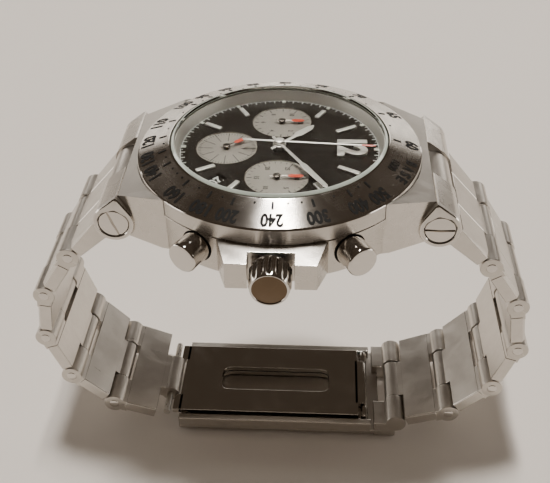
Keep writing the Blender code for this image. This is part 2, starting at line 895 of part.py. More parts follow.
def build_hand(name, place, height, outline, degrees, hub, pipe, bottom):
    """A hand on its hub, with the pipe or arbor that carries it down to the movement."""
    turn = clock_turn(degrees)
    hand = made(name, extruded(outline, height, height + hand_thickness), polished_steel(), (*place, 0), turn)
    bore, outer = pipe
    hub_top = height + hand_thickness + 0.03
    add(hand, (cylinder(hub, height - 0.02, hub_top), (*place, 0)))
    pipe_top = hub_top + 0.02 if bore else height + 0.05
    add(hand, (cylinder(outer, bottom, pipe_top), (*place, 0)))
    if bore:
        cut(hand, (cylinder(bore, bottom - 1, pipe_top + 1), (*place, 0)))


def build_hands():
    floor = plate_bottom + 0.1
    build_hand("hour_hand", centre_place, hour_hand_height, leaf(hour_hand_reach, 0.65, 1.2),
               hour_hand_angle, 1.0, (0.6, 0.8), floor)
    build_hand("minute_hand", centre_place, minute_hand_height, leaf(minute_hand_reach, 0.55, 1.4),
               minute_hand_angle, 0.85, (0.35, 0.52), floor)
    build_hand("chronograph_seconds_hand", centre_place, seconds_hand_height,
               leaf(seconds_hand_reach, 0.18, seconds_hand_tail), seconds_hand_angle, 0.75, (0, 0.25), floor)
    build_hand("minute_counter_hand", minute_counter_place, counter_hand_height,
               leaf(minute_counter_reach, 0.16, 0.7), 0.0, 0.42, (0, 0.22), floor)
    build_hand("hour_counter_hand", hour_counter_place, counter_hand_height,
               leaf(hour_counter_reach, 0.16, 0.7), 0.0, 0.42, (0, 0.22), floor)
    build_hand("small_seconds_hand", fourth_place, counter_hand_height + 0.02,
               leaf(small_seconds_reach, 0.16, 0.7), small_seconds_angle, 0.42, (0, 0.2), counter_hand_height - 0.03)


# ---------------------------------------------------------- bracelet


def link_mesh(number, length, upper_width, lower_width):
    """One link along +Y from its upper hinge at the origin, its outer face up."""
    plate_end = length - knuckle_radius - hinge_gap
    half_upper, half_lower = upper_width / 2, lower_width / 2
    half_thickness = link_thickness / 2
    arm_half = half_thickness - seam
    if number == 1:
        plate_start = barrel_radius + hinge_gap + 0.1
        stations = [
            (plate_start, half_upper, -first_link_thickness / 2, first_link_thickness / 2),
            (plate_end, half_lower, -half_thickness, half_thickness),
        ]
    else:
        plate_start = tongue_radius + hinge_gap + 0.1
        stations = [
            (plate_start, half_upper, -half_thickness, half_thickness),
            (plate_end, half_lower, -half_thickness, half_thickness),
        ]
    link = made(f"link_mesh_{number}", lofted(stations))
    tongue = tongue_half_width
    if number == 1:
        neck = box((-tongue, 0, -arm_half), (tongue, plate_start + 0.5, arm_half))
        add(link, neck, (cylinder(first_knuckle_radius, -tongue, tongue, 20), (0, 0, 0), (0, 90, 0)))
        cut(link, (cylinder(lug_pin_radius + 2 * seam, -tongue - 1, tongue + 1, 16), (0, 0, 0), (0, 90, 0)))
    else:
        inner = tongue + side_gap
        for side in (1, -1):
            low, high = sorted((side * inner, side * (half_upper - seam)))
            arm = box((low, 0, -arm_half), (high, plate_start + 0.5, arm_half))
            add(link, arm, (cylinder(knuckle_radius, low, high), (0, 0, 0), (0, 90, 0)))
        add(link, (cylinder(link_pin_radius, -inner - 0.5, inner + 0.5, 8), (0, 0, 0), (0, 90, 0)))
    lower = (0, length, 0)
    neck = box((-tongue, plate_end - 0.5, -arm_half), (tongue, length, arm_half))
    add(link, neck, (cylinder(tongue_radius, -tongue, tongue), lower, (0, 90, 0)))
    bore = cylinder(link_bore_radius, -tongue - 1, tongue + 1)
    cut(link, (bore, lower, (0, 90, 0)))
    mesh = link.data
    bpy.data.objects.remove(link)
    return mesh


def width_at(index):
    """The bracelet's width at a hinge, tapering evenly to the clasp."""
    return link_width + (link_width_at_clasp - link_width) * index / (len(hinges) - 1)


def build_bracelet():
    for number, (start, end) in enumerate(zip(hinges, hinges[1:]), 1):
        length = math.dist(start, end)
        slope = math.degrees(math.atan2(end[1] - start[1], end[0] - start[0]))
        mesh = link_mesh(number, length, width_at(number - 1), width_at(number))
        y, z = start
        placed(f"link_12_{number}", mesh, brushed_steel(), (0, y, z), (slope, 0, 0))
        placed(f"link_6_{number}", mesh, None, (0, -y, z), (slope, 0, 180))


def build_clasp():
    last_y, last_z = hinges[-1]
    half = link_width_at_clasp / 2
    inner = tongue_half_width + side_gap
    plate_top = cover_bottom + cover_thickness
    h1_y, h1_z = outer_blade_hinge
    h2_y, h2_z = inner_blade_hinge
    along = (0, 90, 0)

    cover = made("clasp_cover", box((-half, cover_free_end, cover_bottom), (half, cover_arm_start + 1, plate_top)),
                 brushed_steel())
    for side in (1, -1):
        low, high = sorted((side * (half - cover_wall), side * half))
        wall_top = plate_top + cover_wall_height
        add(cover, box((low, cover_free_end, plate_top - 0.3), (high, cover_wall_end, wall_top)))
        low, high = sorted((side * inner, side * half))
        add(
            cover,
            box((low, cover_arm_start, cover_bottom), (high, last_y, last_z)),
            (cylinder(knuckle_radius, low, high), (0, last_y, last_z), along),
        )
        low, high = sorted((side * (blade_knuckle_half_width + side_gap), side * (half - cover_wall + 0.2)))
        add(cover, box((low, h1_y - 0.5, plate_top - 0.3), (high, h1_y + 0.5, h1_z + blade_knuckle_radius)))
    ear_gap = blade_knuckle_half_width + side_gap
    add(cover, (cylinder(blade_pin_radius, -ear_gap - 0.4, ear_gap + 0.4, 8), (0, h1_y, h1_z), along))
    cut(cover, (cylinder(spring_bar_radius + 0.1, -spring_bar_half_length - 0.2, spring_bar_half_length + 0.2),
                (0, last_y, last_z), along))

    half_blade = blade_thickness / 2
    wide_start = h1_y + blade_ear_radius + 0.4
    knuckle = blade_knuckle_half_width
    outer_blade = made(
        "clasp_blade_outer",
        box((-blade_half_width, wide_start, h1_z - half_blade), (blade_half_width, h2_y - 0.7, h1_z + half_blade)),
        polished_steel(),
    )
    add(
        outer_blade,
        box((-knuckle, h1_y, h1_z - half_blade), (knuckle, wide_start + 0.5, h1_z + half_blade)),
        (cylinder(blade_knuckle_radius, -knuckle, knuckle), (0, h1_y, h1_z), along),
    )
    for side in (1, -1):
        low, high = sorted((side * ear_gap, side * blade_half_width))
        add(
            outer_blade,
            box((low, h2_y - 1.0, h1_z - half_blade), (high, h2_y, h1_z + half_blade)),
            (cylinder(blade_ear_radius, low, high), (0, h2_y, h2_z), along),
        )
    add(outer_blade, (cylinder(blade_pin_radius, -ear_gap - 0.4, ear_gap + 0.4, 8), (0, h2_y, h2_z), along))
    cut(outer_blade, (cylinder(blade_bore_radius, -knuckle - 1, knuckle + 1, 8), (0, h1_y, h1_z), along))

    low_face, high_face = inner_blade_height - half_blade, inner_blade_height + half_blade
    inner_blade = made(
        "clasp_blade_inner",
        box((-blade_half_width, inner_blade_middle_end, low_face), (blade_half_width, h2_y - 1.0, high_face)),
        polished_steel(),
    )
    add(
        inner_blade,
        box((-knuckle, h2_y - 1.5, low_face), (knuckle, h2_y, high_face)),
        (cylinder(blade_knuckle_radius, -knuckle, knuckle), (0, h2_y, h2_z), along),
    )
    for side in (1, -1):
        low, high = sorted((side * inner, side * blade_half_width))
        finger = box((low, inner_blade_finger_end, low_face), (high, inner_blade_middle_end + 0.5, high_face))
        add(inner_blade, finger)
    cut(inner_blade, (cylinder(blade_bore_radius, -knuckle - 1, knuckle + 1, 8), (0, h2_y, h2_z), along))

    for name, side in (("12", 1), ("6", -1)):
        bar = cylinder(spring_bar_radius, -spring_bar_half_length, spring_bar_half_length, 10)
        made(f"spring_bar_{name}", bar, nickel(), (0, side * last_y, last_z), along)


def move_origin(name, place):
    """Puts an object's origin on its joint's axis without moving its shape."""
    thing = bpy.data.objects[name]
    shift = Vector(place) - thing.location
    turned_shift = thing.rotation_euler.to_matrix().inverted() @ shift
    thing.data.transform(Matrix.Translation(-turned_shift))
    thing.location = place


def finish_model():
    """Origins on the joints, smooth round faces, and millimetres to metres."""
    last_y, last_z = hinges[-1]
    move_origin("clasp_cover", (0, last_y, last_z))
    move_origin("clasp_blade_outer", (0, *outer_blade_hinge))
    move_origin("clasp_blade_inner", (0, *inner_blade_hinge))
    meshes = set()
    for thing in bpy.context.scene.objects:
        thing.location *= METRES_PER_MM
        meshes.add(thing.data)
    for mesh in sorted(meshes, key=lambda item: item.name):
        mesh.transform(Matrix.Scale(METRES_PER_MM, 4))
        mesh.shade_smooth()
        mesh.set_sharp_from_angle(angle=math.radians(35))


def build_watch():
    for thing in list(bpy.data.objects):
        bpy.data.objects.remove(thing)
    build_case_middle()
    build_lug_pins()
    build_bezel()
    build_glass()
    build_dial()
    build_case_back()
    build_crown()
    build_pushers()
    build_wheels()
    build_escapement()
    build_plates()
    build_rotor()
    build_hands()
    build_bracelet()
    build_clasp()
    finish_model()


build_watch()
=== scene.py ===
import json
import math

import bmesh
import bpy
from mathutils import Matrix, Vector


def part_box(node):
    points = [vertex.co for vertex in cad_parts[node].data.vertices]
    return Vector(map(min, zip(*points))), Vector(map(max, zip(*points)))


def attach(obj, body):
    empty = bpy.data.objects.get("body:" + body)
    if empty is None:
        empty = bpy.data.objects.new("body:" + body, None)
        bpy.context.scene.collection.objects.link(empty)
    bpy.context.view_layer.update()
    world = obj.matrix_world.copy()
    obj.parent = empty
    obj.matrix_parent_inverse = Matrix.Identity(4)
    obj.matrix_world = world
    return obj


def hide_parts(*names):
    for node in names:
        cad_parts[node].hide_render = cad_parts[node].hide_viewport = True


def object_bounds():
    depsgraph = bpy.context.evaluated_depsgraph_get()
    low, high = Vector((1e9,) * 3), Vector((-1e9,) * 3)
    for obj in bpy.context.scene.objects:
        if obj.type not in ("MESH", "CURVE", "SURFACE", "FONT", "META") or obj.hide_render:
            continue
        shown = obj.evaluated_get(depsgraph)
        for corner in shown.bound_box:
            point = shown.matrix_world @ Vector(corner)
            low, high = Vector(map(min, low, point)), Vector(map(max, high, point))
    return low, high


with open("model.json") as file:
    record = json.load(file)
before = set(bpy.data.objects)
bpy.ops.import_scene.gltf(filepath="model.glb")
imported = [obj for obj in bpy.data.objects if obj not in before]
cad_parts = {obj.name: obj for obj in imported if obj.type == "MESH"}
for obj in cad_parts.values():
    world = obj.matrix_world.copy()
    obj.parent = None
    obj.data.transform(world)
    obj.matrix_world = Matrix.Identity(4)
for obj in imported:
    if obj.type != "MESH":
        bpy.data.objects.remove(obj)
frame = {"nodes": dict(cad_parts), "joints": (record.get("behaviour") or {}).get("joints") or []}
cadLow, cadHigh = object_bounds()
print("frame loaded:", len(frame["nodes"]), "nodes")

mm = 0.001  # shapes are drawn in millimetres and brought to metres when a piece is finished


# plain helpers for shapes

def boxOf(node):
    low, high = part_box(node)
    return low / mm, high / mm


def jointPlace(name):
    joint = next(j for j in frame["joints"] if j["name"] == name)
    return Vector(joint["pos_m"]) / mm


def polar(distance, degrees):
    angle = math.radians(degrees)
    return distance * math.cos(angle), distance * math.sin(angle)


def atClock(distance, degrees, centre=(0, 0)):
    x, y = polar(distance, 90 - degrees)  # clock angles start at 12 and run clockwise
    return centre[0] + x, centre[1] + y


def filleted(points, radius, closed=False, steps=3):
    rounded = []
    for i, point in enumerate(points):
        if not closed and i in (0, len(points) - 1):
            rounded.append(point)
            continue
        corner = Vector(point)
        before, after = Vector(points[i - 1]) - corner, Vector(points[(i + 1) % len(points)]) - corner
        reach = min(radius, before.length * 0.45, after.length * 0.45)
        start, end = corner + before.normalized() * reach, corner + after.normalized() * reach
        for k in range(steps + 1):
            t = k / steps
            rounded.append(tuple(start * (1 - t) ** 2 + corner * 2 * t * (1 - t) + end * t * t))
    return rounded


def turnedShell(profile, steps=240):
    # profile of (radius, height); it closes on itself when it starts off the axis
    bm = bmesh.new()
    rings = []
    for radius, height in profile:
        count = steps if radius > 1e-6 else 1
        spots = [polar(radius, 360 * i / steps) for i in range(count)]
        rings.append([bm.verts.new((x, y, height)) for x, y in spots])
    following = rings[1:] + (rings[:1] if profile[0][0] > 1e-6 else [])
    for a, b in zip(rings, following):
        for i in range(steps):
            j = (i + 1) % steps
            corners = [a[i % len(a)], a[j % len(a)], b[j % len(b)], b[i % len(b)]]
            corners = list(dict.fromkeys(corners))
            if len(corners) > 2:
                bm.faces.new(corners)
    bmesh.ops.recalc_face_normals(bm, faces=bm.faces)
    return bm


def plate(outline, low, high, holes=()):
    bm = bmesh.new()
    edges = []
    for loop in (outline, *holes):
        points = [bm.verts.new((x, y, low)) for x, y in loop]
        edges += [bm.edges.new(pair) for pair in zip(points, points[1:] + points[:1])]
    bmesh.ops.triangle_fill(bm, edges=edges, use_beauty=True, normal=(0, 0, 1))
    if not holes:
        bmesh.ops.dissolve_limit(bm, angle_limit=0.01, verts=bm.verts, edges=bm.edges)
    lifted = bmesh.ops.extrude_face_region(bm, geom=bm.faces[:])["geom"]
    bmesh.ops.translate(bm, vec=(0, 0, high - low),
                        verts=[v for v in lifted if isinstance(v, bmesh.types.BMVert)])
    bmesh.ops.recalc_face_normals(bm, faces=bm.faces)
    return bm


def loft(stations):
    # stations of (y, [(x, z), ...]), each with the same number of points
    bm = bmesh.new()
    rings = [[bm.verts.new((x, y, z)) for x, z in section] for y, section in stations]
    for a, b in zip(rings, rings[1:]):
        for i in range(len(a)):
            bm.faces.new((a[i], a[i - 1], b[i - 1], b[i]))
    bm.faces.new(rings[0])
    bm.faces.new(rings[-1])
    bmesh.ops.recalc_face_normals(bm, faces=bm.faces)
    return bm


def slab(half, low, high):
    return [(-half, low), (half, low), (half, high), (-half, high)]


def brick(low, high):
    return loft([(y, [(low[0], low[2]), (high[0], low[2]), (high[0], high[2]),
                      (low[0], high[2])]) for y in (low[1], high[1])])


def circle(radius, centre=(0, 0), steps=64):
    return [(centre[0] + x, centre[1] + y) for x,
            y in (polar(radius, 360 * i / steps) for i in range(steps))]


def moved(bm, matrix):
    bmesh.ops.transform(bm, matrix=matrix, verts=bm.verts)
    if matrix.determinant() < 0:
        bmesh.ops.reverse_faces(bm, faces=bm.faces)
    return bm


def shifted(bm, x=0, y=0, z=0):
    return moved(bm, Matrix.Translation((x, y, z)))


def spun(bm, degrees, axis="Z"):
    return moved(bm, Matrix.Rotation(math.radians(degrees), 4, axis))


def alongX(bm):
    return spun(bm, 90, "Y")


def eased(bm, width, steps=2, angle=30, finish=0):
    # rounds every edge sharper than the angle; the rounding takes its own finish
    edges = [e for e in bm.edges if len(e.link_faces) == 2 and e.calc_face_angle() > math.radians(angle)]
    bmesh.ops.bevel(
        bm, geom=edges, offset=width, offset_type="OFFSET", segments=steps, profile=0.5,
        affect="EDGES", clamp_overlap=True, material=finish,
    )
    return bm


def painted(bm, finish):
    for face in bm.faces:
        face.material_index = finish
    return bm


def joined(shells):
    whole = bmesh.new()
    for shell in shells:
        scratch = bpy.data.meshes.new("scratch")
        shell.to_mesh(scratch)
        shell.free()
        whole.from_mesh(scratch)
        bpy.data.meshes.remove(scratch)
    return whole


def helperObject(bm, name="helper"):
    mesh = bpy.data.meshes.new(name)
    bm.to_mesh(mesh)
    bm.free()
    thing = bpy.data.objects.new(name, mesh)
    bpy.context.scene.collection.objects.link(thing)
    return thing


def evaluatedMesh(thing):
    bpy.context.view_layer.update()
    graph = bpy.context.evaluated_depsgraph_get()
    return bpy.data.meshes.new_from_object(thing.evaluated_get(graph), depsgraph=graph)


def carved(bm, cutters, operation="DIFFERENCE"):
    thing = helperObject(bm)
    tools = [helperObject(cutter, "cutter") for cutter in cutters]
    for tool in tools:
        step = thing.modifiers.new("carve", "BOOLEAN")
        step.operation = operation
        step.solver = "EXACT"
        step.object = tool
    mesh = evaluatedMesh(thing)
    for spent in (thing, *tools):
        bpy.data.objects.remove(spent)
    result = bmesh.new()
    result.from_mesh(mesh)
    bpy.data.meshes.remove(mesh)
    bmesh.ops.remove_doubles(result, verts=result.verts, dist=0.002)
    bmesh.ops.dissolve_degenerate(result, dist=0.002, edges=result.edges)
    return result


def lettering(text, height, width=None, condensed=1.0, depth=0.06, weight=0.0, roundness=0.0):
    curve = bpy.data.curves.new("lettering", "FONT")
    curve.body = text
    curve.align_x = "CENTER"
    curve.align_y = "CENTER"
    curve.extrude = 0.05
    curve.offset = weight
    curve.bevel_depth = roundness
    curve.resolution_u = 5
    helper = bpy.data.objects.new("lettering", curve)
    mesh = bpy.data.meshes.new_from_object(helper)
    bm = bmesh.new()
    bm.from_mesh(mesh)
    bpy.data.objects.remove(helper)
    bpy.data.meshes.remove(mesh)
    bmesh.ops.remove_doubles(bm, verts=bm.verts, dist=0.0001)
    low = Vector([min(v.co[k] for v in bm.verts) for k in range(3)])
    high = Vector([max(v.co[k] for v in bm.verts) for k in range(3)])
    span, middle = high - low, (high + low) / 2
    up = height / span.y
    across = width / span.x if width else up * condensed
    for vert in bm.verts:
        x, y, z = vert.co
        vert.co = ((x - middle.x) * across, (y - middle.y) * up, (z - low.z) * depth / span.z)
    bmesh.ops.recalc_face_normals(bm, faces=bm.faces)
    return bm


def finishPiece(name, shells, finishes, body, nodes=(), sharp=38):
    # one object at the origin, in metres, riding on its body
    bm = joined(shells if isinstance(shells, (list, tuple)) else [shells])
    bmesh.ops.remove_doubles(bm, verts=bm.verts, dist=0.00005)
    bmesh.ops.scale(bm, vec=(mm, mm, mm), verts=bm.verts)
    mesh = bpy.data.meshes.new(name)
    bm.to_mesh(mesh)
    bm.free()
    for finish in finishes:
        mesh.materials.append(finish)
    mesh.shade_smooth()
    mesh.set_sharp_from_angle(angle=math.radians(sharp))
    piece = bpy.data.objects.new(name, mesh)
    bpy.context.scene.collection.objects.link(piece)
    weighted = piece.modifiers.new("even shading", "WEIGHTED_NORMAL")
    weighted.keep_sharp = True
    smooth = evaluatedMesh(piece)
    piece.modifiers.clear()
    piece.data = smooth
    smooth.name = name
    bpy.data.meshes.remove(mesh)
    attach(piece, body)
    if nodes:
        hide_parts(*nodes)
    return piece


# node helpers, for shaders and for geometry

def newNode(tree, kind, inputs=None, **options):
    node = tree.nodes.new(kind)
    for key, value in options.items():
        setattr(node, key, value)
    for key, value in (inputs or {}).items():
        if isinstance(value, bpy.types.NodeSocket):
            tree.links.new(value, node.inputs[key])
        else:
            node.inputs[key].default_value = value
    return node


def maths(tree, operation, first, second=0.0, clamp=False):
    kind = "ShaderNodeMath"
    return newNode(tree, kind, {0: first, 1: second}, operation=operation, use_clamp=clamp).outputs[0]


def vectorMaths(tree, operation, first, second=(0, 0, 0)):
    return newNode(tree, "ShaderNodeVectorMath", {0: first, 1: second}, operation=operation)


def blendColours(tree, share, first, second):
    node = newNode(tree, "ShaderNodeMix", {0: share, 6: first, 7: second}, data_type="RGBA")
    return node.outputs[2]


def remapped(tree, value, low, high, toLow=0.0, toHigh=1.0):
    settings = {"Value": value, "From Min": low, "From Max": high, "To Min": toLow, "To Max": toHigh}
    return newNode(tree, "ShaderNodeMapRange", settings).outputs[0]


def newGroup(name, kind, inputs, outputs):
    group = bpy.data.node_groups.new(name, kind)
    for label, socket, value in inputs:
        made = group.interface.new_socket(label, in_out="INPUT", socket_type=socket)
        if value is not None:
            made.default_value = value
    for label, socket in outputs:
        group.interface.new_socket(label, in_out="OUTPUT", socket_type=socket)
    return group, group.nodes.new("NodeGroupInput").outputs, group.nodes.new("NodeGroupOutput").inputs


number, colour, vector = "NodeSocketFloat", "NodeSocketColor", "NodeSocketVector"


def makeBrushing():
    # fine parallel scratches, two sizes of them, laid out by the coordinates that come in
    inputs = [("Path", vector, None), ("Depth", number, 0.3), ("Contrast", number, 0.5)]
    group, given, out = newGroup("brushing", "ShaderNodeTree", inputs,
                                 [("Streaks", number), ("Normal", vector)])
    fine = newNode(group, "ShaderNodeTexNoise", {"Vector": given["Path"], "Scale": 1.0, "Detail": 3.0})
    broad = newNode(group, "ShaderNodeTexNoise", {"Vector": given["Path"], "Scale": 0.23, "Detail": 2.0})
    both = maths(group, "ADD", maths(group, "MULTIPLY", fine.outputs[0], 0.6),
                 maths(group, "MULTIPLY", broad.outputs[0], 0.4))
    centred = maths(group, "MULTIPLY", maths(group, "SUBTRACT", both, 0.5), given["Contrast"])
    group.links.new(maths(group, "ADD", centred, 0.5, clamp=True), out["Streaks"])
    bump = newNode(group, "ShaderNodeBump",
                   {"Strength": given["Depth"], "Distance": 0.00002, "Height": both})
    group.links.new(bump.outputs[0], out["Normal"])
    return group


def makeLathePath():
    # coordinates that run round the Z axis: quick across the turning marks, slow along them
    inputs = [("Position", vector, None), ("Across", number, 9000.0), ("Along", number, 3.0)]
    group, given, out = newGroup("lathePath", "ShaderNodeTree", inputs, [("Path", vector)])
    split = newNode(group, "ShaderNodeSeparateXYZ", {0: given["Position"]})
    flat = newNode(group, "ShaderNodeCombineXYZ", {0: split.outputs[0], 1: split.outputs[1]})
    radius = vectorMaths(group, "LENGTH", flat.outputs[0]).outputs["Value"]
    heading = vectorMaths(group, "NORMALIZE", flat.outputs[0]).outputs[0]
    turn = newNode(group, "ShaderNodeSeparateXYZ", {0: heading})
    across = maths(group, "MULTIPLY", maths(group, "ADD", radius, split.outputs[2]), given["Across"])
    path = newNode(group, "ShaderNodeCombineXYZ", {
        0: across,
        1: maths(group, "MULTIPLY", turn.outputs[0], given["Along"]),
        2: maths(group, "MULTIPLY", turn.outputs[1], given["Along"]),
    })
    group.links.new(path.outputs[0], out["Path"])
    return group


def makeEdgeWear():
    inputs = [("Colour", colour, (0.5, 0.5, 0.5, 1)), ("Worn Colour", colour, (0.8, 0.8, 0.8, 1)),
              ("Amount", number, 0.5), ("Grain", number, 900.0)]
    group, given, out = newGroup("edgeWear", "ShaderNodeTree", inputs,
                                 [("Colour", colour), ("Mask", number)])
    point = newNode(group, "ShaderNodeNewGeometry").outputs["Pointiness"]
    place = newNode(group, "ShaderNodeTexCoord").outputs["Object"]
    rubbed = newNode(group, "ShaderNodeTexNoise", {"Vector": place, "Scale": given["Grain"], "Detail": 4.0})
    edge = remapped(group, point, 0.52, 0.62)
    mask = maths(group, "MULTIPLY", maths(group, "MULTIPLY", edge, rubbed.outputs[0]), given["Amount"],
                 clamp=True)
    group.links.new(mask, out["Mask"])
    group.links.new(blendColours(group, mask, given["Colour"], given["Worn Colour"]), out["Colour"])
    return group


def makeHandling():
    # soft smears from fingers and a little dust, which dull the surface in patches
    inputs = [("Colour", colour, (0.5, 0.5, 0.5, 1)), ("Roughness", number, 0.3), ("Smears", number, 0.1),
              ("Dust", number, 0.03), ("Dust Colour", colour, (0.62, 0.56, 0.48, 1))]
    outputs = [("Colour", colour), ("Roughness", number)]
    group, given, out = newGroup("handling", "ShaderNodeTree", inputs, outputs)
    place = newNode(group, "ShaderNodeTexCoord").outputs["Object"]
    smear = newNode(group, "ShaderNodeTexNoise",
                    {"Vector": place, "Scale": 260.0, "Detail": 3.0, "Distortion": 0.8})
    speck = newNode(group, "ShaderNodeTexNoise", {"Vector": place, "Scale": 5200.0, "Detail": 2.0})
    patch = remapped(group, smear.outputs[0], 0.42, 0.7)
    specks = remapped(group, speck.outputs[0], 0.68, 0.74)
    dust = maths(group, "MULTIPLY", maths(group, "ADD", specks, maths(group, "MULTIPLY", patch, 0.4)),
                 given["Dust"])
    group.links.new(blendColours(group, dust, given["Colour"], given["Dust Colour"]), out["Colour"])
    dulled = maths(group, "ADD", given["Roughness"], maths(group, "MULTIPLY", patch, given["Smears"]))
    group.links.new(maths(group, "ADD", dulled, dust, clamp=True), out["Roughness"])
    return group


brushing, lathePath, edgeWear, handling = makeBrushing(), makeLathePath(), makeEdgeWear(), makeHandling()


def newMaterial(name):
    material = bpy.data.materials.new(name)
    material.use_nodes = True
    tree = material.node_tree
    shader = next(node for node in tree.nodes if node.type == "BSDF_PRINCIPLED")
    place = newNode(tree, "ShaderNodeTexCoord").outputs["Object"]
    return material, tree, shader, place


def metalFinish(name, settings):
    material, tree, shader, place = newMaterial(name)
    lay = settings.get("lay")
    if lay == "round":
        path = newNode(tree, "ShaderNodeGroup", {"Position": place, "Across": settings["across"],
                                                 "Along": settings["along"]}, node_tree=lathePath).outputs[0]
        tangent = newNode(tree, "ShaderNodeTangent", direction_type="RADIAL", axis="Z")
        tree.links.new(tangent.outputs[0], shader.inputs["Tangent"])
    else:
        across, along = settings["across"], settings["along"]
        scale = (across, along, along) if lay == "length" else (along, across, across)
        path = newNode(tree, "ShaderNodeMapping", {"Vector": place, "Scale": scale}).outputs[0]
    marks = newNode(tree, "ShaderNodeGroup", {"Path": path, "Depth": settings["depth"],
                                              "Contrast": settings["contrast"]}, node_tree=brushing).outputs
    dark = tuple(c * settings["shade"] for c in settings["colour"])
    ground = blendColours(tree, marks["Streaks"], (*dark, 1), (*settings["colour"], 1))
    worn = newNode(tree, "ShaderNodeGroup", {"Colour": ground, "Worn Colour": (*settings["edge"], 1),
                                             "Amount": settings["wear"]}, node_tree=edgeWear).outputs
    spread = settings["spread"]
    rough = remapped(tree, marks["Streaks"], 0.0, 1.0, settings["roughness"] + spread,
                     settings["roughness"] - spread)
    used = newNode(tree, "ShaderNodeGroup", {"Colour": worn["Colour"], "Roughness": rough,
                                             "Smears": settings["smears"], "Dust": settings["dust"]},
                   node_tree=handling).outputs
    tree.links.new(used["Colour"], shader.inputs["Base Color"])
    tree.links.new(used["Roughness"], shader.inputs["Roughness"])
    tree.links.new(marks["Normal"], shader.inputs["Normal"])
    shader.inputs["Metallic"].default_value = 1.0
    shader.inputs["Anisotropic"].default_value = settings.get("anisotropic", 0.0)
    shader.inputs["Anisotropic Rotation"].default_value = 0.25 if lay == "round" else 0.0
    return material


steel = {"colour": (0.60, 0.565, 0.52), "edge": (0.80, 0.77, 0.73), "shade": 0.86}
brushedAlong = metalFinish("steelBrushedAlong", {
    **steel, "lay": "length", "across": 9000, "along": 260, "depth": 0.35, "contrast": 1.1,
    "roughness": 0.30,
    "spread": 0.07, "smears": 0.06, "dust": 0.03, "wear": 0.5,
})
brushedRound = metalFinish("steelBrushedRound", {
    **steel, "lay": "round", "across": 9000, "along": 3, "depth": 0.22, "contrast": 1.0, "roughness": 0.23,
    "spread": 0.06, "smears": 0.05, "dust": 0.03, "wear": 0.5, "anisotropic": 0.95,
})
satinSide = metalFinish("steelSatin", {
    **steel, "lay": "across", "across": 7000, "along": 400, "depth": 0.12, "contrast": 0.7,
    "roughness": 0.24,
    "spread": 0.05, "smears": 0.08, "dust": 0.03, "wear": 0.5,
})
polished = metalFinish("steelPolished", {
    **steel, "colour": (0.66, 0.63, 0.59), "lay": "across", "across": 5000, "along": 900, "depth": 0.03,
    "contrast": 0.4, "roughness": 0.09, "spread": 0.02, "smears": 0.07, "dust": 0.02, "wear": 0.3,
})
brightSatin = metalFinish("steelBrightSatin", {
    "colour": (0.64, 0.61, 0.57), "edge": (0.85, 0.83, 0.8), "shade": 0.92, "lay": "across", "across": 9000,
    "along": 900, "depth": 0.06, "contrast": 0.5, "roughness": 0.38, "spread": 0.05, "smears": 0.03,
    "dust": 0.02,
    "wear": 0.3,
})
# dark brown steel for the crown's end disc: a painted dark reflection on its polished face
paintedDarkReflection = metalFinish("steelPaintedDarkReflection", {
    "colour": (0.13, 0.092, 0.06), "edge": (0.3, 0.24, 0.18), "shade": 0.9, "lay": "across", "across": 5000,
    "along": 900, "depth": 0.02, "contrast": 0.4, "roughness": 0.1, "spread": 0.02, "smears": 0.06,
    "dust": 0.01,
    "wear": 0.1,
})
darkSteel = metalFinish("steelBlackened", {
    "colour": (0.09, 0.075, 0.065), "edge": (0.3, 0.28, 0.26), "shade": 0.8, "lay": "across",
    "across": 5000,
    "along": 900, "depth": 0.04, "contrast": 0.5, "roughness": 0.3, "spread": 0.04, "smears": 0.05,
    "dust": 0.03,
    "wear": 0.2,
})
nickelPlate = metalFinish("nickelPlate", {
    "colour": (0.62, 0.60, 0.56), "edge": (0.8, 0.78, 0.74), "shade": 0.85, "lay": "round", "across": 5000,
    "along": 8, "depth": 0.2, "contrast": 0.9, "roughness": 0.28, "spread": 0.06, "smears": 0.03,
    "dust": 0.01,
    "wear": 0.5,
})
brassSatin = metalFinish("brassSatin", {
    "colour": (0.72, 0.52, 0.23), "edge": (0.9, 0.72, 0.4), "shade": 0.8, "lay": "round", "across": 5000,
    "along": 8, "depth": 0.2, "contrast": 0.9, "roughness": 0.27, "spread": 0.06, "smears": 0.03,
    "dust": 0.01,
    "wear": 0.5,
})


def paintFinish(name, settings):
    # lacquer, print and rubber: a speckled ground with fine grain in its relief
    material, tree, shader, place = newMaterial(name)
    mottle = newNode(tree, "ShaderNodeTexNoise",
                     {"Vector": place, "Scale": settings["grain"], "Detail": 5.0})
    second = tuple(c * settings["shade"] for c in settings["colour"])
    ground = blendColours(tree, mottle.outputs[0], (*second, 1), (*settings["colour"], 1))
    used = newNode(tree, "ShaderNodeGroup", {"Colour": ground, "Roughness": settings["roughness"],
                                             "Smears": settings.get("smears", 0.03),
                                             "Dust": settings.get("dust", 0.02)},
                   node_tree=handling).outputs
    bump = newNode(tree, "ShaderNodeBump", {"Strength": settings["relief"], "Distance": 0.00001,
                                            "Height": mottle.outputs[0]})
    tree.links.new(used["Colour"], shader.inputs["Base Color"])
    tree.links.new(used["Roughness"], shader.inputs["Roughness"])
    tree.links.new(bump.outputs[0], shader.inputs["Normal"])
    shader.inputs["Coat Weight"].default_value = settings.get("coat", 0.0)
    shader.inputs["Coat Roughness"].default_value = 0.08
    shader.inputs["Specular IOR Level"].default_value = settings.get("gloss", 0.5)
    return material


